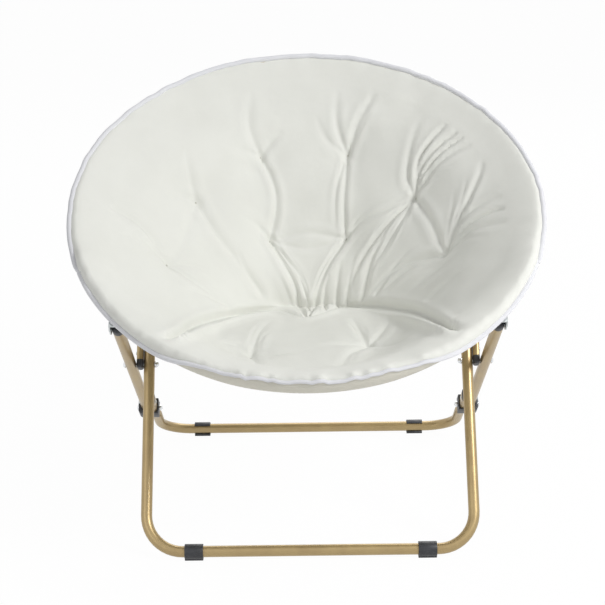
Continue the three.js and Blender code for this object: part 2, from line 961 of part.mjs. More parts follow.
// Room for a clevis and for a hinge, on both sides.
function pocketTools() {
  const tools = [];
  const width = (tube.radius + clevis.sideGap + clevis.plate + pivot.headHeight) * 2 + cushion.pocketGap * 2;
  const length = clevis.length + cushion.pocketGap * 2;
  const top = -tube.radius;
  const bottom = -pivot.drop - clevis.earRadius - cushion.overrun;
  for (const side of [-1, 1]) {
    for (const [x, along] of [[outerArm, frontPivotAlong], [upperArmTop, rearPivotAlong]]) {
      tools.push(box(side * x, along, (top + bottom) / 2, width, length, top - bottom));
    }
    const wide = hinge.width + (hinge.headHeight + cushion.tunnelGap) * 2;
    const high = hingeAbove + hinge.knuckleRadius + cushion.tunnelGap;
    tools.push(box(side * hingeSide, hingeAlong, high / 2, wide, hinge.tongue * 2 + cushion.pocketGap, high));
    for (const sign of [-1, 1]) {
      const room = tidy(saddleRoom(sign));
      tools.push(side > 0 ? room : sided(room, side));
    }
  }
  return tools;
}

// The saddle's own space, a little fatter, to cut from the sleeve.
function saddleRoom(sign) {
  const radius = tube.radius + hinge.seatGap + hinge.plate + cushion.tunnelGap;
  const room = new THREE.CylinderGeometry(
    radius,
    radius,
    hinge.saddleLength + cushion.pocketGap,
    tube.sides,
  );
  return seatOnTube(room, sign);
}

function cushionPieces() {
  let whole = solid(wholeCushion());
  for (const tool of [...tunnelTools(), ...pocketTools()]) whole = whole.subtract(solid(tool));
  const far = ring.radius * 2;
  const gap = cushion.splitGap / 2;
  const edge = cushion.wingOffset;
  const slab = (x0, x1, y0, y1) => solid(box((x0 + x1) / 2, (y0 + y1) / 2, 0, x1 - x0, y1 - y0, far));
  const split = hingeAlong;
  const take = (block3) => fromSolid(whole.intersect(block3));
  return {
    seat: take(slab(-edge + gap, edge - gap, -far, split - gap)),
    back: take(slab(-edge + gap, edge - gap, split + gap, far)),
    left: take(slab(-far, -edge - gap, -far, far)),
    right: take(slab(edge + gap, far, -far, far)),
  };
}

// The chair

const chair = new THREE.Group();

const saucer = new THREE.Group();
saucer.position.z = ring.height;
saucer.rotation.x = tilt;
chair.add(saucer);

const gapDegrees = THREE.MathUtils.radToDeg(ring.endGap / ring.radius);
const hingeEnd = ring.hingeDegrees;
const frontArc = ringStations(-hingeEnd + gapDegrees, hingeEnd - gapDegrees, ring.frontSteps);
const rearArc = ringStations(hingeEnd + gapDegrees, 360 - hingeEnd - gapDegrees, ring.rearSteps);
saucer.add(part('front_hoop_tube', bareTube(frontArc), steel));
saucer.add(part('rear_hoop_tube', bareTube(rearArc), steel));
pair(saucer, 'front_clevis', clevisBody(outerArm, frontPivotAlong), zinc);
pair(saucer, 'rear_clevis', clevisBody(upperArmTop, rearPivotAlong), zinc);
pair(saucer, 'front_clevis_pin', clevisPin(outerArm, frontPivotAlong), zinc);
pair(saucer, 'rear_clevis_pin', clevisPin(upperArmTop, rearPivotAlong), zinc);
pair(saucer, 'hinge_front_leaf', hingeLeaf(-1), zinc);
pair(saucer, 'hinge_rear_leaf', hingeLeaf(1), zinc);
pair(saucer, 'hinge_pin', hingePin(), zinc);

const soft = cushionPieces();
saucer.add(part('seat_pad', soft.seat, fabric));
saucer.add(part('back_pad', soft.back, fabric));
saucer.add(part('side_wing_left', soft.left, fabric));
saucer.add(part('side_wing_right', soft.right, fabric));

// Front leg: the U, then the upper arms and their fastenings.

const frontLeg = new THREE.Group();
frontLeg.position.set(0, frontBar.x, frontBar.y);
frontLeg.rotation.x = -frontLean;
chair.add(frontLeg);

const frontTop = lowerFrontLength + legs.frontOverlap;
const kink = frontLean - upperLean;
const frontHoles = [];
for (const side of [-1, 1]) {
  for (const reach of [0, legs.frontSecondBolt]) {
    const z = lowerFrontLength + reach * Math.cos(kink);
    frontHoles.push(boltHole(side * frontArm, z, -reach * Math.sin(kink)));
  }
}
const frontTube = legTube(legStations(frontArm, frontTop), pressed.thickness);
frontLeg.add(part('front_leg_u', cut(frontTube, ...frontHoles), steel));
pair(frontLeg, 'front_leg_top_plug', plugBody(frontArm, frontTop, frontTop + plug.cap, 1, 0), plastic);

const upper = new THREE.Group();
upper.position.z = lowerFrontLength;
upper.rotation.x = kink;
frontLeg.add(upper);

const armStations = upperArmStations();
const armHole = rodX(bolt.radius + bolt.gap, cushion.overrun, upperArm, 0, legs.frontSecondBolt);
pair(upper, 'upper_arm', cut(legTube(armStations, pressed.thickness), armHole), steel);
const lowPlug = plugBody(upperArm, plug.endSetback, -plug.lowerEnd, -1, 1, pressed.thickness);
pair(upper, 'upper_arm_low_plug', cut(lowPlug, boltHole(upperArm, 0)), plastic);
const armEnd = upperFrontLength - plug.endSetback;
const topPlug = plugBody(upperArmTop, armEnd, upperFrontLength + plug.upperEnd, 1, 0);
pair(upper, 'upper_arm_top_plug', cut(topPlug, boltHole(upperArmTop, upperFrontLength)), plastic);

const armInner = frontArm - tube.radius - legs.seatGap;
const armOuter = upperArm + pressed.thickness / 2;
const nutDepth = bolt.domeHeight - bolt.domeRadius * domeWallShare - bolt.gap;
const crossBolt = turnedX([
  [armInner - nutDepth, 0],
  [armInner - nutDepth, bolt.radius],
  [armOuter, bolt.radius],
  [armOuter, 0],
]);
pair(upper, 'cross_bolt', crossBolt, chrome);
pair(upper, 'cross_dome_nut', domeNutX(armInner), chrome);
const secondRivet = rivetX(armInner, armOuter + legs.seatGap, bolt.radius, bolt.rivetHead, bolt.rivetHeight);
secondRivet.translate(0, 0, legs.frontSecondBolt);
pair(upper, 'cross_rivet', secondRivet, zinc);

// Rear leg: the U, the outer arms, their joint blocks and fastenings.

const rearLeg = new THREE.Group();
rearLeg.position.set(0, rearBar.x, rearBar.y);
rearLeg.rotation.x = -rearLean;
chair.add(rearLeg);

const rearTop = jointReach + legs.rearOverlap;
const rearBolts = [jointReach, jointReach + legs.rearSecondBolt];
const rearHoles = [];
for (const side of [-1, 1]) for (const z of rearBolts) rearHoles.push(boltHole(side * rearArm, z));
const pressFrom = jointReach - block.lowerReach - pressed.below;
const rearStations = legStations(rearArm, rearTop);
const rearDown = pressedRun(-rearArm, rearTop, pressFrom, pressed.taper);
const rearUp = pressedRun(rearArm, rearTop, pressFrom, pressed.taper).reverse();
for (const station of rearUp) station.tangent.negate();
const rearRoute = [...rearDown, ...rearStations.slice(1, -1), ...rearUp];
const rearTube = legTube(rearRoute, pressed.rearThickness);
rearLeg.add(part('rear_leg_u', cut(rearTube, ...rearHoles), steel));
const rearCap = plugBody(rearArm, rearTop, rearTop + plug.cap, 1, 1, pressed.rearThickness);
pair(rearLeg, 'rear_leg_top_plug', rearCap, plastic);

const outerTop = rearLength - plug.endSetback;
const outerStations = [jointReach - block.tubeEnd, crossReach, outerTop].map((z) => ({
  point: new THREE.Vector3(outerArm, 0, z),
  tangent: new THREE.Vector3(0, 0, 1),
}));
const outerHoles = [...rearBolts, crossReach].map((z) => boltHole(outerArm, z));
pair(rearLeg, 'outer_arm', cut(legTube(outerStations), ...outerHoles), steel);
const outerPlug = plugBody(outerArm, outerTop, rearLength + plug.upperEnd, 1, 0);
pair(rearLeg, 'outer_arm_top_plug', cut(outerPlug, boltHole(outerArm, rearLength)), plastic);
pair(rearLeg, 'joint_block', jointBlock(), plastic);

const blockInner = rearArm - pressed.rearThickness / 2 - block.slotGap - block.wall - legs.seatGap;
const blockOuter = outerArm + tube.radius + block.slotGap + block.outerWall + legs.seatGap;
const jointBolt = boltX(blockInner - nutDepth, blockOuter, bolt.headHeight);
jointBolt.translate(0, 0, jointReach);
pair(rearLeg, 'joint_bolt', jointBolt, chrome);
const jointNut = domeNutX(blockInner);
jointNut.translate(0, 0, jointReach);
pair(rearLeg, 'joint_dome_nut', jointNut, chrome);

const rearInner = rearArm - pressed.rearThickness / 2 - legs.seatGap;
const rearOuter = outerArm + tube.radius + legs.seatGap;
const rearRivet = rivetX(rearInner, rearOuter, bolt.radius, bolt.rivetHead, bolt.rivetHeight);
rearRivet.translate(0, 0, jointReach + legs.rearSecondBolt);
pair(rearLeg, 'joint_rivet', rearRivet, zinc);

const crossHead = boltX(outerArm - tube.radius, rearOuter, bolt.headHeight);
crossHead.translate(0, 0, crossReach);
pair(rearLeg, 'cross_head', crossHead, chrome);

// Feet stand square on the floor.

pair(chair, 'front_foot', footClip(1, foot.frontOffset, frontBar), plastic);
pair(chair, 'rear_foot', footClip(-1, foot.rearOffset, rearBar), plastic);

export default chair;
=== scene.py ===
"""Looks of a folding saucer chair: a tufted round cushion on a folding gold tube frame.

Everything is in metres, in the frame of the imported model: X across, Y to the back, Z up.
"""

import json
import logging
import math
from dataclasses import dataclass, field
from enum import Enum

import bmesh
import bpy
import numpy as np
from mathutils import Matrix, Vector, noise

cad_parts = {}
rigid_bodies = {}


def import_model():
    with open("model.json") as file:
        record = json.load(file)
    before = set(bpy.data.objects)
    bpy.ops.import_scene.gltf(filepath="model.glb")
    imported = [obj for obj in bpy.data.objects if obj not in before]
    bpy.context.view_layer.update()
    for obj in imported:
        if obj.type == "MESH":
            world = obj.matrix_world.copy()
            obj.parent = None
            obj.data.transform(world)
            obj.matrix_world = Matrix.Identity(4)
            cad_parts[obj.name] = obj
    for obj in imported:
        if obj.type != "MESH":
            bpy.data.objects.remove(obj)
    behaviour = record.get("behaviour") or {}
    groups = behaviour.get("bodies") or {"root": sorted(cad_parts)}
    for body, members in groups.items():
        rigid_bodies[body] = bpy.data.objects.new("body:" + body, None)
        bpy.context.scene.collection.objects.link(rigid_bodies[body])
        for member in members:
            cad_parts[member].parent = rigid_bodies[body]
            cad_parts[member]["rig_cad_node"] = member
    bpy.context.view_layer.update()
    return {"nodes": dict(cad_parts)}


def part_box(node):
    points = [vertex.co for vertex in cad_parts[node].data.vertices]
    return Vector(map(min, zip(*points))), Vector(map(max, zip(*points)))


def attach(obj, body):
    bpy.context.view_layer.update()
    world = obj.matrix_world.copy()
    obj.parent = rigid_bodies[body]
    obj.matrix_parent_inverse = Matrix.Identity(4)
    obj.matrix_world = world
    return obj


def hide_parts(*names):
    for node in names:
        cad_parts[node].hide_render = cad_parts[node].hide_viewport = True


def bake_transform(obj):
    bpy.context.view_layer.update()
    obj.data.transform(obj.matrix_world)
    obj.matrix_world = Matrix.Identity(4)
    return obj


MM = 0.001
QUARTER = math.pi / 2.0
TURN = 2.0 * math.pi
Colour = tuple[float, float, float]
Number = float | np.ndarray
Range = tuple[float, float]
Layers = tuple[tuple[float, float, float], ...]
log = logging.getLogger("saucer_chair")


# Number helpers


def share_of(value: Number, low: Number, high: Number) -> Number:
    """The share of the way from low to high, kept from 0 to 1."""
    return np.clip((value - low) / (high - low), 0.0, 1.0)


def eased(value: Number, low: Number = 0.0, high: Number = 1.0) -> Number:
    """The same share, eased at both ends."""
    t = share_of(value, low, high)
    return t * t * (3.0 - 2.0 * t)


def bell(value: np.ndarray, width: float) -> np.ndarray:
    """A bell curve: 1 in the middle, 0.37 at a width from it."""
    return np.exp(-((value / width) ** 2))


def clouds(x: np.ndarray, along: np.ndarray, scale: float, seed: float) -> np.ndarray:
    """Smooth noise, from -1 to 1, at places of two numbers each."""
    return np.array([noise.noise(Vector((a * scale, b * scale, seed))) for a, b in zip(x, along)])


def layered(x: np.ndarray, along: np.ndarray, layers: Layers) -> np.ndarray:
    """Clouds laid over each other, each with its scale, seed and height."""
    return sum(clouds(x, along, scale, seed) * height for scale, seed, height in layers)


# Shader building


class Wire:
    """A shader socket that can be used in plain sums."""

    def __init__(self, graph: "Graph", socket: bpy.types.NodeSocket) -> None:
        """Keep the socket and the graph that it belongs to."""
        self.graph = graph
        self.socket = socket

    def _sum(self, operation: str, a: object, b: object) -> "Wire":
        """Add one Math node for an operation on two values or wires."""
        return self.graph.node("ShaderNodeMath", {"operation": operation}, {0: a, 1: b})

    def __add__(self, other: object) -> "Wire":
        """Sum."""
        return self._sum("ADD", self, other)

    __radd__ = __add__

    def __mul__(self, other: object) -> "Wire":
        """Product."""
        return self._sum("MULTIPLY", self, other)

    __rmul__ = __mul__

    def __sub__(self, other: object) -> "Wire":
        """Difference."""
        return self._sum("SUBTRACT", self, other)

    def sine(self) -> "Wire":
        """Sine of the value."""
        return self._sum("SINE", self, 0.0)

    def above(self, low: float, high: float) -> "Wire":
        """Clamped share of the way from low to high, eased at both ends."""
        ends = {"Value": self, "From Min": low, "From Max": high}
        return self.graph.node("ShaderNodeMapRange", {"interpolation_type": "SMOOTHSTEP"}, ends)


class Graph:
    """One material's node tree."""

    def __init__(self, name: str) -> None:
        """Start an empty material of that name."""
        self.material = bpy.data.materials.new(name)
        self.material.use_nodes = True
        self.tree = self.material.node_tree
        self.tree.nodes.clear()

    def node(
        self,
        kind: str,
        settings: dict[str, object] | None = None,
        inputs: dict[object, object] | None = None,
        output: object = 0,
    ) -> Wire:
        """Add a node.

        Args:
            kind: the node's type name.
            settings: its own settings.
            inputs: values or wires by socket name or number.
            output: name or number of the socket that is wanted.

        Returns:
            The wanted output as a Wire.
        """
        made = self.tree.nodes.new(kind)
        for key, value in (settings or {}).items():
            setattr(made, key, value)
        for key, value in (inputs or {}).items():
            socket = made.inputs[key]
            if isinstance(value, Wire):
                self.tree.links.new(value.socket, socket)
            elif socket.type == "RGBA" and len(value) == 3:
                socket.default_value = (*value, 1.0)
            else:
                socket.default_value = value
        return Wire(self, made.outputs[output])

    def place(self, tilt: float = 0.0, stretch: tuple[float, float, float] = (1.0, 1.0, 1.0)) -> Wire:
        """Object coordinates, turned about X and stretched."""
        start = self.node("ShaderNodeTexCoord", output="Object")
        inputs = {"Vector": start, "Rotation": (tilt, 0.0, 0.0), "Scale": stretch}
        return self.node("ShaderNodeMapping", {"vector_type": "TEXTURE"}, inputs)

    def axes(self, place: Wire) -> list[Wire]:
        """The three numbers of a vector."""
        first = self.node("ShaderNodeSeparateXYZ", inputs={0: place})
        return [Wire(self, out) for out in first.socket.node.outputs]

    def cloud(self, place: Wire, scale: float, detail: float = 3.0, rough: float = 0.5) -> Wire:
        """Soft noise from 0 to 1."""
        inputs = {"Vector": place, "Scale": scale, "Detail": detail, "Roughness": rough}
        return self.node("ShaderNodeTexNoise", inputs=inputs)

    def swing(self, *parts: tuple[Wire, float]) -> Wire:
        """What some clouds, each with its full swing, add to a plain value."""
        total = None
        for wire, amount in parts:
            part = (wire - 0.5) * amount
            total = part if total is None else total + part
        return total

    def mix(self, share: Wire, low: object, high: object) -> Wire:
        """A colour between two colours."""
        return self.node("ShaderNodeMix", {"data_type": "RGBA"}, {0: share, 6: low, 7: high}, 2)

    def bump(self, height: Wire, depth: float, strength: float = 1.0, normal: Wire | None = None) -> Wire:
        """A bumped normal from a height and its depth in metres."""
        inputs: dict[object, object] = {"Height": height, "Distance": depth, "Strength": strength}
        if normal is not None:
            inputs["Normal"] = normal
        return self.node("ShaderNodeBump", inputs=inputs)

    def surface(self, **inputs: object) -> bpy.types.Material:
        """Close the graph with a Principled shader.

        Args:
            inputs: values or wires by socket name, with _ for a space.

        Returns:
            The finished material.
        """
        named = {key.replace("_", " "): value for key, value in inputs.items()}
        return self.close(self.node("ShaderNodeBsdfPrincipled", inputs=named, output="BSDF"))

    def close(self, shader: Wire) -> bpy.types.Material:
        """Join a shader to the material's output."""
        end = self.tree.nodes.new("ShaderNodeOutputMaterial")
        self.tree.links.new(shader.socket, end.inputs["Surface"])
        return self.material


# Finishes


@dataclass(frozen=True)
class SatinGold:
    """Gold paint on steel tube, with a fine metallic grain and faint rubbing."""

    base: Colour = (0.455, 0.345, 0.17)
    deep: Colour = (0.36, 0.26, 0.13)
    metallic: float = 0.72
    roughness: float = 0.36
    coat: float = 0.15
    grain_scale: float = 1500.0
    grain_depth: float = 0.00004
    cloud_scale: float = 22.0
    cloud_swing: float = 0.16
    rub_scale: float = 160.0
    rub_stretch: tuple[float, float, float] = (1.0, 1.0, 0.12)
    rub_swing: float = 0.12

    def make(self) -> bpy.types.Material:
        """Build the material."""
        g = Graph("satin_gold")
        place = g.place()
        grain = g.cloud(place, self.grain_scale, 2.0)
        cloud = g.cloud(place, self.cloud_scale, 4.0, 0.6)
        rub = g.cloud(g.place(stretch=self.rub_stretch), self.rub_scale)
        colour = g.mix((cloud * 0.7 + grain * 0.5).above(0.35, 0.85), self.deep, self.base)
        rough = g.swing((cloud, self.cloud_swing), (rub, self.rub_swing)) + self.roughness
        normal = g.bump(grain, self.grain_depth, 0.5)
        return g.surface(
            Base_Color=colour, Metallic=self.metallic, Roughness=rough, Normal=normal, Coat_Weight=self.coat
        )


@dataclass(frozen=True)
class BlackPlastic:
    """Moulded black plastic with a fine spark-eroded grain."""

    base: Colour = (0.024, 0.025, 0.029)
    pale: Colour = (0.042, 0.044, 0.05)
    roughness: float = 0.44
    grain_scale: float = 2600.0
    grain_depth: float = 0.00006
    grain_swing: float = 0.15
    cloud_scale: float = 60.0
    cloud_swing: float = 0.2

    def make(self) -> bpy.types.Material:
        """Build the material."""
        g = Graph("black_plastic")
        place = g.place()
        grain = g.cloud(place, self.grain_scale, 2.0)
        cloud = g.cloud(place, self.cloud_scale)
        colour = g.mix(cloud.above(0.35, 0.75), self.base, self.pale)
        rough = g.swing((cloud, self.cloud_swing), (grain, self.grain_swing)) + self.roughness
        return g.surface(Base_Color=colour, Roughness=rough, Normal=g.bump(grain, self.grain_depth, 0.6))


@dataclass(frozen=True)
class PlatedZinc:
    """Zinc plated sheet steel: faint rolling lines and blotches."""

    base: Colour = (0.47, 0.5, 0.5)
    pale: Colour = (0.66, 0.69, 0.69)
    metallic: float = 0.95
    roughness: float = 0.33
    line_scale: float = 900.0
    line_stretch: tuple[float, float, float] = (1.0, 0.05, 1.0)
    line_depth: float = 0.00004
    line_swing: float = 0.2
    spot_scale: float = 140.0
    spot_swing: float = 0.25

    def make(self) -> bpy.types.Material:
        """Build the material."""
        g = Graph("plated_zinc")
        lines = g.cloud(g.place(stretch=self.line_stretch), self.line_scale, 2.0)
        spots = g.cloud(g.place(), self.spot_scale, 4.0, 0.65)
        colour = g.mix((spots * 0.7 + lines * 0.4).above(0.3, 0.8), self.base, self.pale)
        rough = g.swing((spots, self.spot_swing), (lines, self.line_swing)) + self.roughness
        normal = g.bump(lines, self.line_depth, 0.5)
        return g.surface(Base_Color=colour, Metallic=self.metallic, Roughness=rough, Normal=normal)


@dataclass(frozen=True)
class PolishedChrome:
    """Bright chrome on the domed nuts and bolt heads."""

    base: Colour = (0.74, 0.76, 0.78)
    pale: Colour = (0.82, 0.83, 0.84)
    roughness: float = 0.1
    haze_scale: float = 300.0
    haze_depth: float = 0.00002
    haze_swing: float = 0.1

    def make(self) -> bpy.types.Material:
        """Build the material."""
        g = Graph("polished_chrome")
        haze = g.cloud(g.place(), self.haze_scale)
        rough = g.swing((haze, self.haze_swing)) + self.roughness
        colour = g.mix(haze.above(0.3, 0.8), self.base, self.pale)
        normal = g.bump(haze, self.haze_depth, 0.3)
        return g.surface(Base_Color=colour, Metallic=1.0, Roughness=rough, Normal=normal)


@dataclass(frozen=True)
class WovenCloth:
    """Plain woven cloth, from its yarn pitch and its two tones."""

    name: str
    base: Colour
    shade: Colour
    pitch: float = 0.0011
    weave_depth: float = 0.00012
    crumple_depth: float = 0.0009
    sheen: float = 0.12
    gloss: float = 0.25
    roughness: float = 0.82
    tilt: float = math.radians(29.0)
    slub_scale: float = 420.0
    slub_stretch: float = 0.08
    slub_swing: float = 0.12
    mottle_scale: float = 9.0
    crumple_scale: float = 46.0

    def make(self) -> bpy.types.Material:
        """Build the material: weave, slubs, soft crumples and faint mottling."""
        g = Graph(self.name)
        place = g.place(tilt=self.tilt)
        x, y, _ = g.axes(place)
        turn = TURN / self.pitch
        weave = (x * turn).sine() * (y * turn).sine() * 0.5 + 0.5
        slub, cross = (
            g.cloud(g.place(tilt=self.tilt, stretch=stretch), self.slub_scale, 2.0)
            for stretch in ((1.0, self.slub_stretch, 1.0), (self.slub_stretch, 1.0, 1.0))
        )
        mottle = g.cloud(place, self.mottle_scale, 5.0, 0.6)
        crumple = g.cloud(place, self.crumple_scale, 4.0, 0.55)
        tone = (mottle * 0.55 + slub * 0.25 + cross * 0.25).above(0.3, 0.75)
        colour = g.mix(tone, self.shade, self.base)
        soft = g.bump(crumple, self.crumple_depth, 0.6)
        normal = g.bump(weave + (slub + cross) * 0.7, self.weave_depth, 0.6, soft)
        rough = g.swing((slub, self.slub_swing)) + self.roughness
        return g.surface(
            Base_Color=colour, Roughness=rough, Normal=normal,
            Sheen_Weight=self.sheen, Specular_IOR_Level=self.gloss,
        )


@dataclass(frozen=True)
class StudioWhite:
    """White floor and backdrop that keep a faint shadow."""

    kept: float = 0.97
    matt: Colour = (0.93, 0.93, 0.93)

    def make(self) -> bpy.types.Material:
        """Build the material: mostly plain white to the camera, matt white to the light."""
        g = Graph("studio_white")
        kinds = ("Is Camera Ray", "Is Glossy Ray", "Is Transmission Ray")
        straight, glossy, through = (g.node("ShaderNodeLightPath", output=kind) for kind in kinds)
        seen = (straight + glossy + through) * self.kept
        matt = g.node("ShaderNodeBsdfDiffuse", inputs={"Color": self.matt})
        glow = g.node("ShaderNodeEmission", inputs={"Color": (1.0, 1.0, 1.0), "Strength": 1.0})
        return g.close(g.node("ShaderNodeMixShader", inputs={0: seen, 1: matt, 2: glow}))


class Finish(Enum):
    """The finishes of the chair, each with the record's slot that it belongs to."""

    GOLD = ("gold_steel", SatinGold())
    PLASTIC = ("black_plastic", BlackPlastic())
    ZINC = ("zinc", PlatedZinc())
    CHROME = ("chrome", PolishedChrome())
    COVER = ("fabric", WovenCloth("cream_cover", (0.80, 0.805, 0.76), (0.755, 0.76, 0.71)))
    LINING = ("fabric", WovenCloth("beige_lining", (0.70, 0.68, 0.60), (0.63, 0.61, 0.53), pitch=0.0014))
    PIPING = ("fabric", WovenCloth("white_piping", (0.78, 0.785, 0.81), (0.72, 0.725, 0.76), pitch=0.0009))
    THREAD = ("fabric", WovenCloth("cream_thread", (0.62, 0.61, 0.55), (0.5, 0.49, 0.43), pitch=0.0006))

    @property
    def slot(self) -> str:
        """The record's slot."""
        return self.value[0]

    def material(self) -> bpy.types.Material:
        """The finish's material, built at its first use."""
        name = f"finish_{self.name.lower()}"
        found = bpy.data.materials.get(name)
        if found is None:
            found = self.value[1].make()
            found.name = name
        return found


# Mesh building


@dataclass
class Station:
    """One cross-section of a swept piece.

    Args:
        point: its middle.
        side: unit direction of its thickness.
        up: unit direction of its width.
        thick: half thickness.
        wide: half width.
        square: 1 for an ellipse, less for a squarer section.
    """

    point: Vector
    side: Vector
    up: Vector
    thick: float
    wide: float
    square: float = 1.0

    def at(self, angle: float) -> Vector:
        """The point of the section at an angle."""
        c, s = math.cos(angle), math.sin(angle)
        along = math.copysign(abs(c) ** self.square, c) * self.thick
        across = math.copysign(abs(s) ** self.square, s) * self.wide
        return self.point + self.side * along + self.up * across


class Shell:
    """A bmesh on its way to become one finished piece."""

    def __init__(self) -> None:
        """Start empty."""
        self.bm = bmesh.new()

    def sweep(self, route: list[Station], sides: int) -> None:
        """Carry a ring of points along stations and close both ends."""
        turn = self.bm.verts.layers.float.get("turn") or self.bm.verts.layers.float.new("turn")
        ring = bmesh.ops.create_circle(self.bm, segments=sides, radius=1.0, cap_ends=False)["verts"]
        members = set(ring)
        edges = [e for e in self.bm.edges if members.issuperset(e.verts)]
        for vert in ring:
            vert[turn] = math.atan2(vert.co.y, vert.co.x)
            vert.co = route[0].at(vert[turn])
        bmesh.ops.edgeloop_fill(self.bm, edges=edges)
        for station in route[1:]:
            out = bmesh.ops.extrude_edge_only(self.bm, edges=edges)["geom"]
            fresh = {g for g in out if isinstance(g, bmesh.types.BMVert)}
            edges = [g for g in out if isinstance(g, bmesh.types.BMEdge) and fresh.issuperset(g.verts)]
            for vert in fresh:
                vert.co = station.at(vert[turn])
        bmesh.ops.edgeloop_fill(self.bm, edges=edges)

    def turned(self, profile: list[tuple[float, float]], centre: Vector, steps: int = 28) -> None:
        """Spin a profile of (place along X, radius) about the X axis through a centre."""
        line = [self.bm.verts.new(Vector((x, centre.y, centre.z + r))) for x, r in profile]
        edges = [self.bm.edges.new(pair) for pair in zip(line, line[1:])]
        bmesh.ops.spin(
            self.bm, geom=line + edges, cent=(0.0, centre.y, centre.z), axis=(1.0, 0.0, 0.0),
            dvec=(0.0, 0.0, 0.0), angle=TURN, steps=steps, use_merge=True,
        )
        bmesh.ops.remove_doubles(self.bm, verts=self.bm.verts, dist=1e-6)

    def hexagon(
        self, start: float, end: float, centre: Vector, radius: float, chamfer_share: float = 0.08
    ) -> None:
        """A chamfered hexagon along X."""
        place = Matrix.Translation(((start + end) / 2.0, centre.y, centre.z)) @ Matrix.Rotation(QUARTER, 4, "Y")
        made = bmesh.ops.create_cone(
            self.bm, cap_ends=True, segments=6, radius1=radius, radius2=radius,
            depth=abs(end - start), matrix=place,
        )["verts"]
        rim = {e for v in made for e in v.link_edges}
        bmesh.ops.bevel(
            self.bm, geom=list(rim), offset=radius * chamfer_share, segments=2, profile=0.5,
            affect="EDGES", material=-1,
        )

    def piece(
        self, name: str, finishes: list[Finish], sharp: float = 40.0, recalc: bool = True
    ) -> bpy.types.Object:
        """Turn the bmesh into an object.

        Args:
            name: the piece's name.
            finishes: its finishes, in the order of its faces' material numbers.
            sharp: edges that turn by more than this many degrees stay sharp.
            recalc: whether the normals are worked out anew.

        Returns:
            The new object, at the origin.
        """
        if recalc:
            bmesh.ops.recalc_face_normals(self.bm, faces=self.bm.faces)
        limit = math.radians(sharp)
        for edge in self.bm.edges:
            edge.smooth = not (len(edge.link_faces) == 2 and edge.calc_face_angle(0.0) > limit)
        for face in self.bm.faces:
            face.smooth = True
        mesh = bpy.data.meshes.new(name)
        self.bm.to_mesh(mesh)
        self.bm.free()
        for helper in ("turn", "zone"):
            layer = mesh.attributes.get(helper)
            if layer:
                mesh.attributes.remove(layer)
        for finish in finishes:
            mesh.materials.append(finish.material())
        made = bpy.data.objects.new(name, mesh)
        bpy.context.scene.collection.objects.link(made)
        return made


def mount(piece: bpy.types.Object, body: str, finish: Finish, *nodes: str) -> bpy.types.Object:
    """Hang a piece on its body and hide the nodes that it stands for."""
    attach(piece, body)
    if nodes:
        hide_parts(*nodes)
    log.info("%s rides on %s, %d faces", piece.name, body, len(piece.data.polygons))
    return piece


# The chair's shared places


@dataclass(frozen=True)
class Layout:
    """Sizes and places that several sub-assemblies share."""

    tube: float = 9.5 * MM
    ring_radius: float = 392 * MM
    ring_height: float = 543 * MM
    tilt: float = math.radians(29.0)
    hinge_angle: float = math.radians(68.0)
    front_clevis_angle: float = math.radians(50.0)
    rear_clevis_angle: float = math.radians(120.0)
    front_bar: tuple[float, float] = (-248 * MM, 13.5 * MM)
    rear_bar: tuple[float, float] = (265 * MM, 13.5 * MM)
    bend: float = 62 * MM
    front_arm: float = 275.5 * MM
    upper_arm: float = 291.3 * MM
    outer_arm: float = 307.3 * MM
    rear_arm: float = 292.3 * MM
    pivot_drop: float = 30 * MM
    cross_height: float = 277.5 * MM
    joint_height: float = 110 * MM

    def from_ring(self, along: float, above: float) -> tuple[float, float]:
        """Turn a place in the ring's plane into back and up."""
        c, s = math.cos(self.tilt), math.sin(self.tilt)
        return along * c - above * s, self.ring_height + along * s + above * c

    def ring_matrix(self) -> Matrix:
        """The ring's flat frame in the chair's frame."""
        return Matrix.Translation((0.0, 0.0, self.ring_height)) @ Matrix.Rotation(self.tilt, 4, "X")

    @property
    def front_pivot(self) -> tuple[float, float]:
        """Where the outer arms hang from the front arc."""
        return self.from_ring(-self.ring_radius * math.cos(self.front_clevis_angle), -self.pivot_drop)

    @property
    def rear_pivot(self) -> tuple[float, float]:
        """Where the upper arms hang from the rear arc."""
        return self.from_ring(-self.ring_radius * math.cos(self.rear_clevis_angle), -self.pivot_drop)

    @property
    def rear_clevis_side(self) -> float:
        """How far out the rear clevises are."""
        return self.ring_radius * math.sin(self.rear_clevis_angle)

    def on_rear_line(self, height: float) -> tuple[float, float]:
        """The point at a height of the line from the rear bar to the front pivot."""
        share = (height - self.rear_bar[1]) / (self.front_pivot[1] - self.rear_bar[1])
        return self.rear_bar[0] + (self.front_pivot[0] - self.rear_bar[0]) * share, height

    @property
    def crossing(self) -> tuple[float, float]:
        """Where the legs cross."""
        return self.on_rear_line(self.cross_height)

    @property
    def joint(self) -> tuple[float, float]:
        """Where the outer arm joins the rear leg."""
        return self.on_rear_line(self.joint_height)

    @staticmethod
    def frame(start: tuple[float, float], end: tuple[float, float]) -> tuple[Matrix, float]:
        """A leg's own frame, with its Z from start to end, and the distance between them."""
        back, up = end[0] - start[0], end[1] - start[1]
        place = Matrix.Translation((0.0, start[0], start[1])) @ Matrix.Rotation(-math.atan2(back, up), 4, "X")
        return place, math.hypot(back, up)


# Frame tubes


@dataclass
class Press:
    """How a tube is pressed flat: half thickness, half width, squareness."""

    thick: float
    wide: float = 12 * MM
    square: float = 0.6


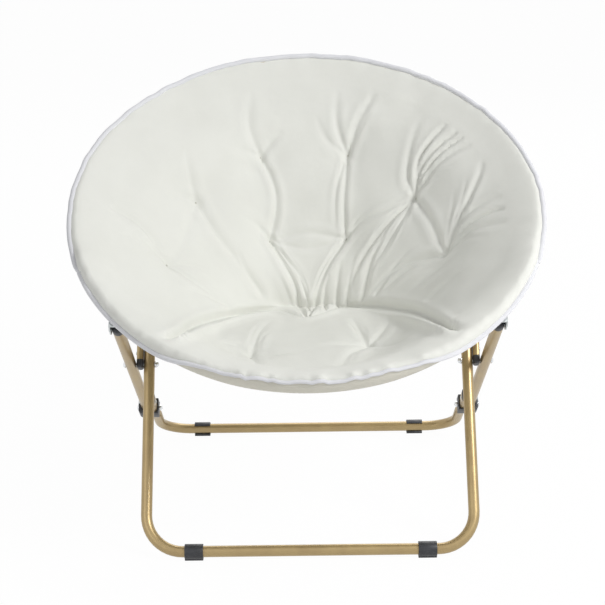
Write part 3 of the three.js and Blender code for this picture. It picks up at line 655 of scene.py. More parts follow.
@dataclass
class TubeRun:
    """A bent, partly flattened tube in a leg's own frame."""

    layout: Layout
    place: Matrix
    press: Press
    sides: int = 28
    stations: list[Station] = field(default_factory=list)

    def add(
        self, x: float, z: float, tangent: tuple[float, float], press: float = 0.0, inset: float = 0.0
    ) -> None:
        """Add a station.

        Args:
            x: its place across.
            z: its place along the leg.
            tangent: the tube's direction there, across and along.
            press: 0 for round, 1 for pressed flat.
            inset: how much smaller than the tube it is.
        """
        length = math.hypot(*tangent)
        turn = self.place.to_3x3()
        tube = self.layout.tube
        self.stations.append(
            Station(
                point=self.place @ Vector((x, 0.0, z)),
                side=turn @ Vector((tangent[1] / length, 0.0, -tangent[0] / length)),
                up=turn @ Vector((0.0, 1.0, 0.0)),
                thick=tube + (self.press.thick - tube) * press - inset,
                wide=tube + (self.press.wide - tube) * press - inset,
                square=1.0 + (self.press.square - 1.0) * press,
            )
        )

    def build(self, name: str, body: str, finish: Finish, *nodes: str) -> bpy.types.Object:
        """Sweep the run and mount it."""
        shell = Shell()
        shell.sweep(self.stations, self.sides)
        return mount(shell.piece(name, [finish], 50.0), body, finish, *nodes)


@dataclass
class LegFrame:
    """The two U legs, their upper and outer arms and their plugs."""

    layout: Layout
    front_overlap: float = 34 * MM
    rear_overlap: float = 56 * MM
    taper: float = 26 * MM
    pressed_length: float = 36 * MM
    setback: float = 7 * MM
    low_end: float = 7.5 * MM
    top_end: float = 9.2 * MM
    cap: float = 5 * MM
    cap_edge: float = 4 * MM
    cap_edge_share: float = 0.75
    cap_inset_share: float = 0.9
    cap_steps: int = 6
    press_steps: int = 6
    taper_steps: int = 8
    collar_play: float = 0.15 * MM
    splay_from: float = 40 * MM
    splay_blend: float = 40 * MM
    splay_end: float = 66 * MM
    below_joint: float = 20 * MM
    joint_overlap: float = 6 * MM
    bend_steps: int = 12
    front_press: Press = field(default_factory=lambda: Press(6 * MM))
    rear_press: Press = field(default_factory=lambda: Press(5 * MM))

    def u_run(self, run: TubeRun, side: float, top: float, press_from: float | None = None) -> None:
        """Add the stations of a U: down one arm, along the bar, up the other."""
        bend = self.layout.bend
        heights = [top, bend]
        if press_from is not None:
            count = self.press_steps
            steps = [press_from - self.taper * i / count for i in range(1, count + 1)]
            heights = [top, press_from, *steps, bend]

        def press_at(z: float) -> float:
            """How flat the arm is at a height."""
            return 0.0 if press_from is None else eased((z - press_from + self.taper) / self.taper)

        for z in heights:
            run.add(-side, z, (0.0, -1.0), press_at(z))
        for i in range(1, self.bend_steps + 1):
            a = QUARTER * i / self.bend_steps
            run.add(-side + bend - bend * math.cos(a), bend - bend * math.sin(a), (math.sin(a), -math.cos(a)))
        for i in range(self.bend_steps + 1):
            a = QUARTER * i / self.bend_steps
            run.add(side - bend + bend * math.sin(a), bend - bend * math.cos(a), (math.cos(a), math.sin(a)))
        for z in reversed(heights[:-1]):
            run.add(side, z, (0.0, 1.0), press_at(z))

    def plug(
        self, name: str, body: str, place: Matrix, press: Press, x: float, mouth: float, end: float, flat: float
    ) -> None:
        """A black end plug: a thin collar at the mouth, a shoulder and a rounded end."""
        run = TubeRun(self.layout, place, press)
        sign = 1.0 if end > mouth else -1.0
        length = abs(end - mouth)
        round_off = min(length * self.cap_edge_share, self.cap_edge)
        steps = [(0.0, -self.collar_play), (length - round_off, -self.collar_play)]
        for i in range(1, self.cap_steps + 1):
            a = QUARTER * i / self.cap_steps
            inset = round_off * (1 - math.cos(a)) * self.cap_inset_share
            steps.append((length - round_off + round_off * math.sin(a), inset))
        for away, inset in steps:
            run.add(x, mouth + sign * away, (0.0, sign), flat, inset)
        run.build(name, body, Finish.PLASTIC, name)

    def upper_route(self, run: TubeRun, sign: float, length: float) -> None:
        """The upper arm's stations: pressed at the crossing, then splayed to its clevis."""
        lay = self.layout
        start, blend = self.splay_from, self.splay_blend
        end = length - self.splay_end
        reach = lay.rear_clevis_side - lay.upper_arm
        slope = reach / (end - start - blend)

        def outward(z: float) -> float:
            """How far out the arm has splayed at a height."""
            if z <= start:
                return 0.0
            if z < start + blend:
                return slope * (z - start) ** 2 / (2 * blend)
            if z < end - blend:
                return slope * (z - start - blend / 2)
            if z < end:
                return reach - slope * (end - z) ** 2 / (2 * blend)
            return reach

        def lean(z: float) -> float:
            """The arm's slope at a height."""
            enter = min(max((z - start) / blend, 0.0), 1.0)
            leave = min(max((end - z) / blend, 0.0), 1.0)
            return slope * min(enter, leave)

        heights = [self.setback, self.pressed_length]
        shares = [i / self.taper_steps for i in range(1, self.taper_steps + 1)]
        heights += [self.pressed_length + self.taper * share for share in shares]
        heights += [start + blend, (start + end) / 2, end - blend]
        heights += [end - blend + blend * share for share in shares]
        heights.append(length - self.setback)
        for z in sorted(heights):
            press = 1.0 - eased((z - self.pressed_length) / self.taper)
            run.add(sign * (lay.upper_arm + outward(z)), z, (sign * lean(z), 1.0), press)

    def build(self) -> None:
        """Build all tubes and plugs of both legs."""
        lay = self.layout
        front, front_length = lay.frame(lay.front_bar, lay.crossing)
        upper, upper_length = lay.frame(lay.crossing, lay.rear_pivot)
        rear, rear_length = lay.frame(lay.rear_bar, lay.front_pivot)
        _, joint_reach = lay.frame(lay.rear_bar, lay.joint)
        _, cross_reach = lay.frame(lay.rear_bar, lay.crossing)
        log.info("front leg %.4f m, upper arm %.4f m, rear leg %.4f m", front_length, upper_length, rear_length)

        front_top = front_length + self.front_overlap
        run = TubeRun(lay, front, self.front_press)
        self.u_run(run, lay.front_arm, front_top)
        run.build("front_u_tube", "front_leg", Finish.GOLD, "front_leg_u")

        rear_top = joint_reach + self.rear_overlap
        run = TubeRun(lay, rear, self.rear_press)
        self.u_run(run, lay.rear_arm, rear_top, joint_reach - self.below_joint)
        run.build("rear_u_tube", "rear_leg", Finish.GOLD, "rear_leg_u")

        upper_mouth, outer_mouth = upper_length - self.setback, rear_length - self.setback
        upper_end, outer_end = upper_length + self.top_end, rear_length + self.top_end
        plugs = (
            ("front_leg_top", "front_leg", front, lay.front_arm, front_top, front_top + self.cap, 0.0),
            ("upper_arm_low", "front_leg", upper, lay.upper_arm, self.setback, -self.low_end, 1.0),
            ("upper_arm_top", "front_leg", upper, lay.rear_clevis_side, upper_mouth, upper_end, 0.0),
            ("rear_leg_top", "rear_leg", rear, lay.rear_arm, rear_top, rear_top + self.cap, 1.0),
            ("outer_arm_top", "rear_leg", rear, lay.outer_arm, outer_mouth, outer_end, 0.0),
        )
        for sign, side in ((-1.0, "left"), (1.0, "right")):
            for label, body, place, x, mouth, end, flat in plugs:
                press = self.front_press if body == "front_leg" else self.rear_press
                self.plug(f"{label}_plug_{side}", body, place, press, sign * x, mouth, end, flat)
            run = TubeRun(lay, upper, self.front_press)
            self.upper_route(run, sign, upper_length)
            run.build(f"upper_arm_tube_{side}", "front_leg", Finish.GOLD, f"upper_arm_{side}")
            run = TubeRun(lay, rear, self.rear_press)
            for z in (joint_reach - self.joint_overlap, cross_reach, outer_mouth):
                run.add(sign * lay.outer_arm, z, (0.0, 1.0))
            run.build(f"outer_arm_tube_{side}", "rear_leg", Finish.GOLD, f"outer_arm_{side}")


# Fittings: clips, blocks, clevises, nuts and rivets


@dataclass
class Fittings:
    """The small parts that hold the frame together."""

    edge: float = 0.8 * MM
    steps: int = 28
    round_steps: int = 6
    dome_steps: int = 8
    hexagon_share: float = 0.42
    corner_share: float = 1.02
    dome_share: float = 0.84
    dome_sink: float = 0.2 * MM
    shank: float = 3 * MM
    rivet_head: tuple[float, float] = (3.4 * MM, 1.6 * MM)
    pin_head: tuple[float, float] = (5.5 * MM, 2.2 * MM)
    bolt_head: tuple[float, float] = (6.5 * MM, 3.4 * MM)
    bolt_rim: float = 0.4 * MM
    bolt_dome: float = QUARTER * 0.72
    under_share: float = 0.97
    socket_depth_share: float = 0.5
    socket_shares: tuple[float, float] = (0.62, 0.55)
    flat_angle: float = math.radians(1.5)
    hard_angle: float = math.radians(50.0)

    def rounded(self, node: bpy.types.Object, name: str, body: str, finish: Finish, edge: float) -> None:
        """A copy of a node with merged faces and rounded edges."""
        shell = Shell()
        bm = shell.bm
        bm.from_mesh(node.data)
        bmesh.ops.remove_doubles(bm, verts=bm.verts, dist=2e-6)
        bmesh.ops.dissolve_limit(
            bm, angle_limit=self.flat_angle, verts=bm.verts, edges=bm.edges, delimit={"NORMAL"}
        )
        hard = [e for e in bm.edges if len(e.link_faces) == 2 and e.calc_face_angle(0.0) > self.hard_angle]
        bmesh.ops.bevel(
            bm, geom=hard, offset=edge, segments=2, profile=0.5, affect="EDGES", material=-1,
            clamp_overlap=True,
        )
        mount(shell.piece(name, [finish], 32.0, recalc=False), body, finish, node["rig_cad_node"])

    def dome_nut(self, node: str, body: str) -> None:
        """A domed cap nut: hexagon and dome, the dome pointing at the chair's middle."""
        low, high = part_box(node)
        centre = (low + high) / 2
        sign = 1.0 if centre.x > 0 else -1.0
        inner, outer = (low.x, high.x) if sign > 0 else (high.x, low.x)
        radius = (high.z - low.z) / 2
        base = outer + (inner - outer) * self.hexagon_share
        shell = Shell()
        shell.hexagon(outer, base, centre, radius * self.corner_share)
        foot, width = base - sign * self.dome_sink, radius * self.dome_share
        dome = [(foot, 0.0), (foot, width)]
        for i in range(1, self.dome_steps + 1):
            a = QUARTER * i / self.dome_steps
            dome.append((base + (inner - base) * math.sin(a), width * math.cos(a)))
        dome[-1] = (inner, 0.0)
        shell.turned(dome, centre, self.steps)
        mount(shell.piece(node.replace("dome", "cap"), [Finish.CHROME], 35.0), body, Finish.CHROME, node)

    def rivet(self, node: str, body: str, size: tuple[float, float]) -> None:
        """A zinc rivet or pin along X, with a mushroom head of that radius and height at both ends."""
        low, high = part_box(node)
        centre = (low + high) / 2
        head, height = size
        angles = [QUARTER * i / self.round_steps for i in range(1, self.round_steps + 1)]
        crown = [(height * (1 - math.cos(a)), head * math.sin(a)) for a in angles]
        profile = [(low.x, 0.0), *((low.x + away, radius) for away, radius in crown)]
        profile += [(low.x + height, self.shank), (high.x - height, self.shank)]
        profile += [*((high.x - away, radius) for away, radius in reversed(crown)), (high.x, 0.0)]
        shell = Shell()
        shell.turned(profile, centre, self.steps)
        mount(shell.piece(f"{node}_turned", [Finish.ZINC], 35.0), body, Finish.ZINC, node)

    def button_head(self, node: str, body: str) -> None:
        """A button-headed bolt along X, its head outside, with a round socket in it."""
        low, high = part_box(node)
        centre = (low + high) / 2
        head, height = self.bolt_head
        sign = 1.0 if centre.x > 0 else -1.0
        tip, crown = (low.x, high.x) if sign > 0 else (high.x, low.x)
        face = crown - sign * height
        floor = crown - sign * height * self.socket_depth_share
        rim = self.bolt_rim
        profile = [(tip, 0.0), (tip, self.shank), (face, self.shank), (face, head * self.under_share)]
        profile.append((face + sign * rim, head))
        for i in range(1, self.round_steps + 1):
            a = self.bolt_dome * i / self.round_steps
            rise = rim + (height - rim) * math.sin(a) / math.sin(self.bolt_dome)
            profile.append((face + sign * rise, head * math.cos(a)))
        mouth, bottom = (self.shank * share for share in self.socket_shares)
        profile += [(crown, mouth), (floor, bottom), (floor, 0.0)]
        shell = Shell()
        shell.turned(profile, centre, self.steps)
        mount(shell.piece(f"{node}_turned", [Finish.CHROME], 35.0), body, Finish.CHROME, node)

    def build(self, nodes: dict[str, bpy.types.Object]) -> None:
        """Build the fittings of both sides."""
        blocks = (
            ("front_foot", "moulded", "front_leg", Finish.PLASTIC, self.edge),
            ("rear_foot", "moulded", "rear_leg", Finish.PLASTIC, self.edge),
            ("joint_block", "moulded", "rear_leg", Finish.PLASTIC, self.edge),
            ("rear_clevis", "pressed", "rear_hoop", Finish.ZINC, self.edge / 2),
            ("front_clevis", "pressed", "front_hoop", Finish.ZINC, self.edge / 2),
        )
        rivets = (
            ("cross_rivet", "front_leg", self.rivet_head),
            ("joint_rivet", "rear_leg", self.rivet_head),
            ("rear_clevis_pin", "rear_hoop", self.pin_head),
            ("front_clevis_pin", "front_hoop", self.pin_head),
        )
        for side in ("left", "right"):
            for name, made, body, finish, edge in blocks:
                self.rounded(nodes[f"{name}_{side}"], f"{name}_{made}_{side}", body, finish, edge)
            self.dome_nut(f"cross_dome_nut_{side}", "front_leg")
            self.dome_nut(f"joint_dome_nut_{side}", "rear_leg")
            for name, body, size in rivets:
                self.rivet(f"{name}_{side}", body, size)
            self.button_head(f"joint_bolt_{side}", "rear_leg")


@dataclass
class CarriedNodes:
    """The CAD nodes that stay, hidden for the most part in the sleeve, and their finishes."""

    gold: tuple[str, ...] = ("rear_hoop_tube", "front_hoop_tube")
    zinc: tuple[str, ...] = ("hinge_rear_leaf", "hinge_front_leaf", "hinge_pin")
    chrome: tuple[str, ...] = ("cross_bolt", "cross_head")

    def dress(self, node: bpy.types.Object, finish: Finish) -> None:
        """Give a node its finish."""
        if not node.material_slots:
            node.data.materials.append(None)
        for slot in node.material_slots:
            slot.material = finish.material()
        log.info("%s keeps its mesh, in %s", node.name, finish.name.lower())

    def build(self, nodes: dict[str, bpy.types.Object]) -> None:
        """Dress every node that stays."""
        for name in self.gold:
            self.dress(nodes[name], Finish.GOLD)
        for names, finish in ((self.zinc, Finish.ZINC), (self.chrome, Finish.CHROME)):
            for name in names:
                for side in ("left", "right"):
                    self.dress(nodes[f"{name}_{side}"], finish)


# The cushion


class Fade(Enum):
    """How a fold's depth runs along its length."""

    START = "deep at its start, running out"
    ENDS = "deep at both ends"
    MIDDLE = "deep in its middle"


@dataclass(frozen=True)
class Fold:
    """One pulled fold: its line in the ring's plane, its depth and width, all in millimetres.

    The softness of its valley is a length. The other shape values are shares of its width, and of its depth
    for the ridge's height and the hollow's depth. The fan values say how each next companion turns away, and
    how much shorter, shallower and narrower it is.
    """

    line: tuple[tuple[float, float], ...]
    depth: float
    width: float
    fade: Fade = Fade.START
    fan: int = 0
    soft: float = 1.1
    room: float = 10.0
    ridge_place: float = 2.6
    ridge_width: float = 1.8
    ridge_height: float = 0.5
    hollow_width: float = 4.2
    hollow_depth: float = 0.25
    fan_turn: float = 7.5
    fan_wander: float = 1.5
    fan_lengths: tuple[float, float, float] = (0.86, 0.14, 0.06)
    fan_depths: tuple[float, float] = (0.62, 0.12)
    fan_width: float = 0.72

    def companions(self) -> list["Fold"]:
        """Shallower, narrower and shorter folds that fan out on both sides of this one from its start."""
        made = []
        ox, oy = self.line[0]
        length, shorter, uneven = self.fan_lengths
        depth, shallower = self.fan_depths
        for i in range(1, self.fan + 1):
            for sign in (-1, 1):
                wander = self.fan_wander * math.sin(self.line[-1][0] + i)
                turn = math.radians(sign * (self.fan_turn * i + wander))
                c, s = math.cos(turn), math.sin(turn)
                reach = length - shorter * i + uneven * sign
                line = tuple(
                    (ox + ((x - ox) * c - (y - oy) * s) * reach, oy + ((x - ox) * s + (y - oy) * c) * reach)
                    for x, y in self.line
                )
                deep = self.depth * (depth - shallower * i)
                made.append(Fold(line, deep, self.width * self.fan_width, self.fade))
        return made

    def sampled(self, steps: int = 8) -> np.ndarray:
        """The line, rounded through its points, in metres."""
        pts = [np.array(p, float) * MM for p in self.line]
        pts = [2 * pts[0] - pts[1], *pts, 2 * pts[-1] - pts[-2]]
        out = []
        for a, b, c, d in zip(pts, pts[1:], pts[2:], pts[3:]):
            for i in range(steps):
                t = i / steps
                square, cube = 2 * a - 5 * b + 4 * c - d, 3 * b - a - 3 * c + d
                out.append(0.5 * (2 * b + (c - a) * t + square * t * t + cube * t**3))
        out.append(pts[-2])
        return np.array(out)

    def strength(self, share: np.ndarray) -> np.ndarray:
        """How deep the fold is at a share of its length."""
        if self.fade is Fade.START:
            return np.clip(1.0 - share, 0.0, 1.0) ** 0.75
        if self.fade is Fade.ENDS:
            return 0.55 + 0.45 * (2.0 * share - 1.0) ** 2
        return np.sin(np.pi * np.clip(share, 0.02, 0.98)) ** 0.6

    def relief(self, x: np.ndarray, along: np.ndarray) -> np.ndarray:
        """The fold's height at places in the ring's plane: a valley between two soft ridges."""
        line = self.sampled()
        width, soft = self.width * MM, self.soft * MM
        room = self.room * width
        low, high = line.min(axis=0) - room, line.max(axis=0) + room
        near = (x > low[0]) & (x < high[0]) & (along > low[1]) & (along < high[1])
        whole = np.zeros(x.shape)
        x, along = x[near], along[near]
        best = np.full(x.shape, 1e9)
        where = np.zeros(x.shape)
        count = len(line) - 1
        for i in range(count):
            a, d = line[i], line[i + 1] - line[i]
            length = max(float(d @ d), 1e-12)
            t = np.clip(((x - a[0]) * d[0] + (along - a[1]) * d[1]) / length, 0.0, 1.0)
            away = np.hypot(x - a[0] - t * d[0], along - a[1] - t * d[1])
            closer = away < best
            best = np.where(closer, away, best)
            where = np.where(closer, (i + t) / count, where)
        valley = np.exp(-(np.hypot(best, soft) - soft) / width)
        ridge = bell(best - self.ridge_place * width, self.ridge_width * width)
        hollow = bell(best, self.hollow_width * width)
        form = self.ridge_height * ridge - valley - self.hollow_depth * hollow
        whole[near] = self.depth * MM * self.strength(where) * form
        return whole


# The crease between seat and back, and the raised edge of the seat beside it.
CREASE: tuple[Fold, ...] = (
    Fold(
        (
            (-224, -316), (-208, -246), (-194, -161), (-164, -95), (-122, -47), (-59, -16), (-3, -43),
            (60, -12), (109, -25), (148, -56), (180, -96), (201, -142), (213, -189), (224, -256), (238, -316),
        ),
        13, 4.4, Fade.ENDS,
    ),
    Fold(
        (
            (-214, -322), (-197, -252), (-182, -172), (-152, -108), (-114, -64), (-56, -36), (-3, -62),
            (58, -32), (103, -42), (140, -74), (170, -112), (190, -154), (203, -198), (214, -262), (228, -322),
        ),
        -4.5, 6.5, Fade.ENDS,
    ),
)

# The pulled folds between the tufts and out to the rim.
FOLDS: tuple[Fold, ...] = (
    Fold(((-82, 220), (-62, 185), (-54, 146), (-63, 89)), 5.9, 3.8, Fade.ENDS),
    Fold(((77, 222), (71, 149), (70, 89)), 5.3, 3.5, Fade.ENDS),
    Fold(((72, 216), (56, 160), (54, 105)), 3.3, 3.1),
    Fold(((-63, 89), (-40, 52), (-20, 18), (-2, -40)), 7.3, 4.2, Fade.ENDS),
    Fold(((-63, 89), (-34, 60), (-10, 34), (2, 6)), 3.3, 3.5),
    Fold(((70, 89), (41, 52), (19, 13), (2, -36)), 5.9, 3.8, Fade.ENDS),
    Fold(((70, 89), (50, 70), (26, 40), (14, 10)), 3.3, 3.5),
    Fold(((70, 89), (99, 107), (140, 111), (193, 117)), 4.6, 3.8, Fade.ENDS),
    Fold(((70, 89), (104, 120), (146, 124), (190, 121)), 2.6, 3.5, Fade.ENDS),
    Fold(((193, 117), (158, 94), (116, 60), (88, 27), (85, 6)), 7.4, 3.5, fan=2),
    Fold(((193, 115), (166, 75), (138, 43), (118, 26)), 5.3, 3.3, fan=2),
    Fold(((193, 117), (222, 61), (233, 15), (238, -15)), 5.3, 4.2, Fade.ENDS),
    Fold(((193, 117), (209, 159), (245, 188), (281, 203), (310, 214)), 7.6, 3.6, fan=2),
    Fold(((198, 124), (214, 150), (252, 176), (300, 192)), 5.6, 2.9, Fade.MIDDLE),
    Fold(((196, 126), (206, 172), (232, 204), (262, 226)), 5.4, 2.9, Fade.MIDDLE),
    Fold(((195, 120), (235, 152), (279, 167), (317, 166)), 5.9, 3.6, fan=2),
    Fold(((193, 117), (186, 160), (196, 210), (214, 250)), 4.6, 4.2),
    Fold(((238, -15), (267, 28), (290, 62), (309, 98), (318, 130)), 6.6, 3.5, fan=2),
    Fold(((238, -15), (276, 27), (321, 38), (360, 28)), 5.9, 3.5, fan=2),
    Fold(((243, -9), (280, 8), (318, 12), (350, 2)), 5.0, 2.9, Fade.MIDDLE),
    Fold(((238, -15), (286, -6), (332, -23), (358, -38)), 5.3, 4.9, fan=1),
    Fold(((238, -15), (186, 2), (142, 0), (108, -15)), 5.9, 4.5, fan=1),
    Fold(((77, 222), (98, 265), (122, 301), (134, 319)), 5.3, 4.5, fan=1),
    Fold(((77, 222), (60, 271), (62, 330)), 4.6, 4.5),
    Fold(((77, 222), (40, 250), (20, 290)), 2.6, 4.9),
    Fold(((-82, 220), (-104, 267), (-98, 330)), 4, 5.6),
    Fold(((-82, 220), (-61, 246), (-40, 262)), 4, 4.2),
    Fold(((-82, 220), (-110, 224), (-140, 214)), 2.6, 4.9),
    Fold(((-63, 89), (2, 106), (70, 89)), 4, 3.5, Fade.ENDS),
    Fold(((-63, 89), (2, 82), (70, 89)), 3.3, 3.5, Fade.ENDS),
    Fold(((-63, 89), (-30, 100), (0, 116)), 2.3, 3.5),
    Fold(((-63, 89), (-90, 108), (-124, 112)), 2.6, 4.2),
    Fold(((-362, 15), (-308, 16), (-271, -1), (-238, -29)), 4, 6.3, Fade.MIDDLE),
    Fold(((-238, -29), (-290, -20), (-340, -42)), 3.3, 6.3),
    Fold(((-195, 114), (-211, 154), (-220, 196)), 4, 4.9),
    Fold(((-195, 114), (-222, 112), (-250, 100)), 2.6, 4.9),
    Fold(((-195, 114), (-166, 70), (-131, 41), (-105, 14)), 4.6, 5.2),
    Fold(((-195, 114), (-212, 60), (-225, 10), (-238, -29)), 2.6, 5.6, Fade.ENDS),
    Fold(((-238, -29), (-196, -43), (-153, -48)), 4, 4.9),
    Fold(((-238, -29), (-200, -10), (-160, -14)), 2.6, 4.9),
    Fold(((5, -15), (-6, 17), (-17, 43)), 5.3, 3.5),
    Fold(((-12, -26), (-28, 4), (-52, 36)), 3.3, 3.5),
    Fold(((33, -14), (33, 16), (43, 37)), 5.3, 3.5),
    Fold(((57, -12), (56, 16), (63, 56)), 5.3, 3.5),
    Fold(((74, -12), (78, 20), (90, 62)), 4, 3.5),
    Fold(((104, -10), (120, 41), (153, 79)), 5.3, 4.2, fan=1),
    Fold(((128, -16), (160, 10), (190, 26)), 4, 4.2),
    Fold(((137, -20), (168, -10), (207, -7)), 4, 4.2, Fade.MIDDLE),
    Fold(((184, -53), (218, -44), (251, -38)), 3.3, 4.9, Fade.MIDDLE),
    Fold(((214, -110), (250, -96), (290, -96)), 2.6, 5.6),
    Fold(((-87, 7), (-113, 29), (-131, 62)), 3.3, 4.9),
    Fold(((-150, -50), (-190, -60), (-230, -84)), 2.6, 5.6),
    Fold(((102, -175), (70, -221), (47, -297)), 5.3, 5.6, fan=1),
    Fold(((102, -175), (88, -103), (78, -60)), 5.3, 5.2, fan=1),
    Fold(((102, -175), (59, -182), (20, -184)), 4, 4.9),
    Fold(((102, -175), (130, -135), (151, -80)), 4.6, 5.2),
    Fold(((102, -175), (140, -200), (180, -214)), 3.3, 5.6),
    Fold(((-97, -204), (-125, -182), (-167, -194)), 4, 5.6),
    Fold(((-97, -204), (-84, -119), (-63, -60)), 4.6, 5.6, fan=1),
    Fold(((-97, -204), (-84, -273), (-90, -330)), 4, 5.6),
    Fold(((-97, -204), (-50, -214), (0, -206)), 3.3, 5.6),
)

# The tufts' places in the ring's plane, in millimetres.
TUFTS: tuple[tuple[float, float], ...] = (
    (-82, 220), (77, 222), (-63, 89), (70, 89), (-195, 114),
    (193, 117), (-238, -29), (238, -15), (102, -175), (-97, -204),
)


@dataclass(frozen=True)
class Bowl:
    """The cushion's plain bowl: a conical wall that runs into a nearly level seat at the crease."""

    rim: float = 366 * MM
    rim_height: float = 9 * MM
    slope: float = 0.7
    front_slope: float = 0.75
    front_power: float = 2.15
    seat_height: float = -264 * MM
    seat_slope: float = 0.554
    seat_curve: float = 2.222
    blend: float = 14 * MM
    step: float = 0.5 * MM
    padding: float = 26 * MM
    crown: float = 26 * MM
    crown_width: float = 120 * MM

    def height(self, x: np.ndarray, along: np.ndarray) -> np.ndarray:
        """Height of the bowl over the ring's plane."""
        reach = np.hypot(x, along)
        cosine = np.where(reach > 1e-9, -along / np.maximum(reach, 1e-9), 0.0)
        front = ((1.0 + cosine) / 2.0) ** self.front_power
        wall = self.rim_height - (self.slope + self.front_slope * front) * (self.rim - reach)
        seat = self.seat_height - self.seat_slope * along + x * x / self.seat_curve
        return (wall + seat + np.hypot(wall - seat, self.blend)) / 2.0

    def slopes(self, x: np.ndarray, along: np.ndarray) -> tuple[np.ndarray, np.ndarray]:
        """The bowl's slope across and along."""
        d = self.step
        across = (self.height(x + d, along) - self.height(x - d, along)) / (2 * d)
        return across, (self.height(x, along + d) - self.height(x, along - d)) / (2 * d)

    def thickness(self, reach: np.ndarray) -> np.ndarray:
        """How thick the padding is at a reach from the middle."""
        return self.padding + self.crown * eased(self.rim - reach, 0.0, self.crown_width)


@dataclass
class Cushion:
    """The round padded seat: cream cover, beige lining, tufts, folds and a sleeve round the ring.

    A range runs from where something starts to where it is full. The ranges of angles go round from the
    front, and the reaches are measured outwards from the rim. Layers are the scale, seed and height of clouds.
    """

    layout: Layout
    bowl: Bowl = field(default_factory=Bowl)
    sleeve_out: float = 12.8 * MM
    sleeve_up: float = 13.2 * MM
    sleeve_start: float = math.radians(127.0)
    sleeve_turn: float = math.radians(235.0)
    sleeve_rings: int = 22
    steps: int = 500
    top_rings: int = 146
    under_rings: int = 24
    crease_reach: Range = (8 * MM, -2 * MM)
    fold_reach: Range = (6 * MM, -20 * MM)
    drawn_reach: Range = (-86 * MM, 0.0)
    swell_reach: Range = (-20 * MM, 12 * MM)
    lining_reach: Range = (2 * MM, -38 * MM)
    sag_reach: Range = (-76 * MM, 0.0)
    pleat_reach: Range = (-216 * MM, -46 * MM)
    tuft_dip: float = 10 * MM
    tuft_width: float = 40 * MM
    tack_dip: float = 3 * MM
    tack_width: float = 8 * MM
    deepest: float = 14 * MM
    slack: float = 4 * MM
    slack_layers: Layers = ((9.0, 3.1, 4 * MM), (26.0, 7.7, 1.3 * MM))
    ripple_layers: Layers = ((14.0, 11.3, 4 * MM),)
    pleat_layers: Layers = ((11.0, 21.0, 5 * MM), (30.0, 22.0, 2.2 * MM))
    push_layers: Layers = ((15.0, 2.0, 2.2 * MM), (5.0, 5.0, 2 * MM))
    rise_layers: Layers = ((14.0, 9.0, 2 * MM), (32.0, 4.0, 0.7 * MM))
    lip_layers: Layers = ((14.0, 9.0, 8 * MM), (32.0, 4.0, 6 * MM))
    drawn: float = 11 * MM
    hinge_swell: float = 9 * MM
    hinge_width: float = math.radians(5.5)
    lip_angle: float = math.radians(46.0)
    lip_range: Range = (math.radians(22.0), math.radians(38.0))
    lip_droop: float = 9 * MM
    droop_range: Range = (math.radians(41.0), math.radians(15.0))
    side_angle: float = math.radians(17.0)
    side_turn: float = math.radians(21.0)
    side_range: Range = (math.radians(50.0), math.radians(85.0))
    view_ratio: float = 0.912
    back_snug: float = 0.13
    back_range: Range = (math.radians(95.0), math.radians(155.0))
    ruffle_range: Range = (0.85, 0.35)
    lowest_ruffle: float = 1.2 * MM
    tuft_pull: float = 9 * MM
    pull_width: float = 26 * MM
    lip_cord: float = 0.66
    crest: float = 1.25
    side_swell: float = 0.25
    pinch: float = 0.1
    pinch_width: float = 0.16
    piping_radius: float = 4.6 * MM
    piping_out: float = 1.2 * MM
    cord_step: float = 1.2
    tuck_room: float = 9.0
    cord_overlap: float = 1.5
    tack_half: float = 4.2 * MM
    tack_over: float = 0.6 * MM
    tack_bow: float = 0.5 * MM
    thread: tuple[float, float] = (0.9 * MM, 0.7 * MM)
    blend_places: tuple[float, float] = (-98 * MM, -196 * MM)
    crease_depth: float = 3 * MM
    smooth_from: float = 342 * MM
    smooth_times: int = 14

    def swell(self, angle: np.ndarray) -> np.ndarray:
        """The sleeve's rise over the ring's hinges."""
        return self.hinge_swell * bell(np.abs(angle) - self.layout.hinge_angle, self.hinge_width)

    def edge_angle(self, angle: np.ndarray) -> np.ndarray:
        """How far round the sleeve the corded edge lies.

        Args:
            angle: angles round from the front, from -pi to pi.

        Returns:
            Angles up from the sleeve's outside: high at the front lip, elsewhere a little inside the outline
            that the camera sees.
        """
        away = np.abs(angle)
        turn = share_of(away, *self.side_range)
        side = np.arctan(-self.view_ratio * np.cos(angle)) + self.side_angle + self.side_turn * turn
        return self.lip_angle + (side - self.lip_angle) * eased(away, *self.lip_range)

    def droop(self, angle: np.ndarray) -> np.ndarray:
        """How far the lining sags under the front lip."""
        return self.lip_droop * eased(np.abs(angle), *self.droop_range)

    def cord(self, angle: float) -> float:
        """The cord's share of its full radius: thinner along the front lip."""
        away = abs((angle + math.pi) % TURN - math.pi)
        return self.lip_cord + (1.0 - self.lip_cord) * eased(away, *self.lip_range)

    def snug(self, angle: np.ndarray) -> np.ndarray:
        """How tight the sleeve sits: 1 at the front, less at the top of the back."""
        return 1.0 - self.back_snug * eased(np.abs(angle), *self.back_range)

    def waves(self, angle: np.ndarray, layers: Layers) -> np.ndarray:
        """Clouds that run round the rim and meet themselves."""
        return layered(np.cos(angle), np.sin(angle), layers)

    def ruffle(self, angle: np.ndarray) -> tuple[np.ndarray, np.ndarray]:
        """The edge's unevenness round the rim: outwards, and up."""
        front = share_of(np.abs(angle), *self.ruffle_range)
        rise = self.waves(angle, self.rise_layers) + front * self.waves(angle, self.lip_layers)
        return self.waves(angle, self.push_layers), np.maximum(rise, -self.lowest_ruffle)

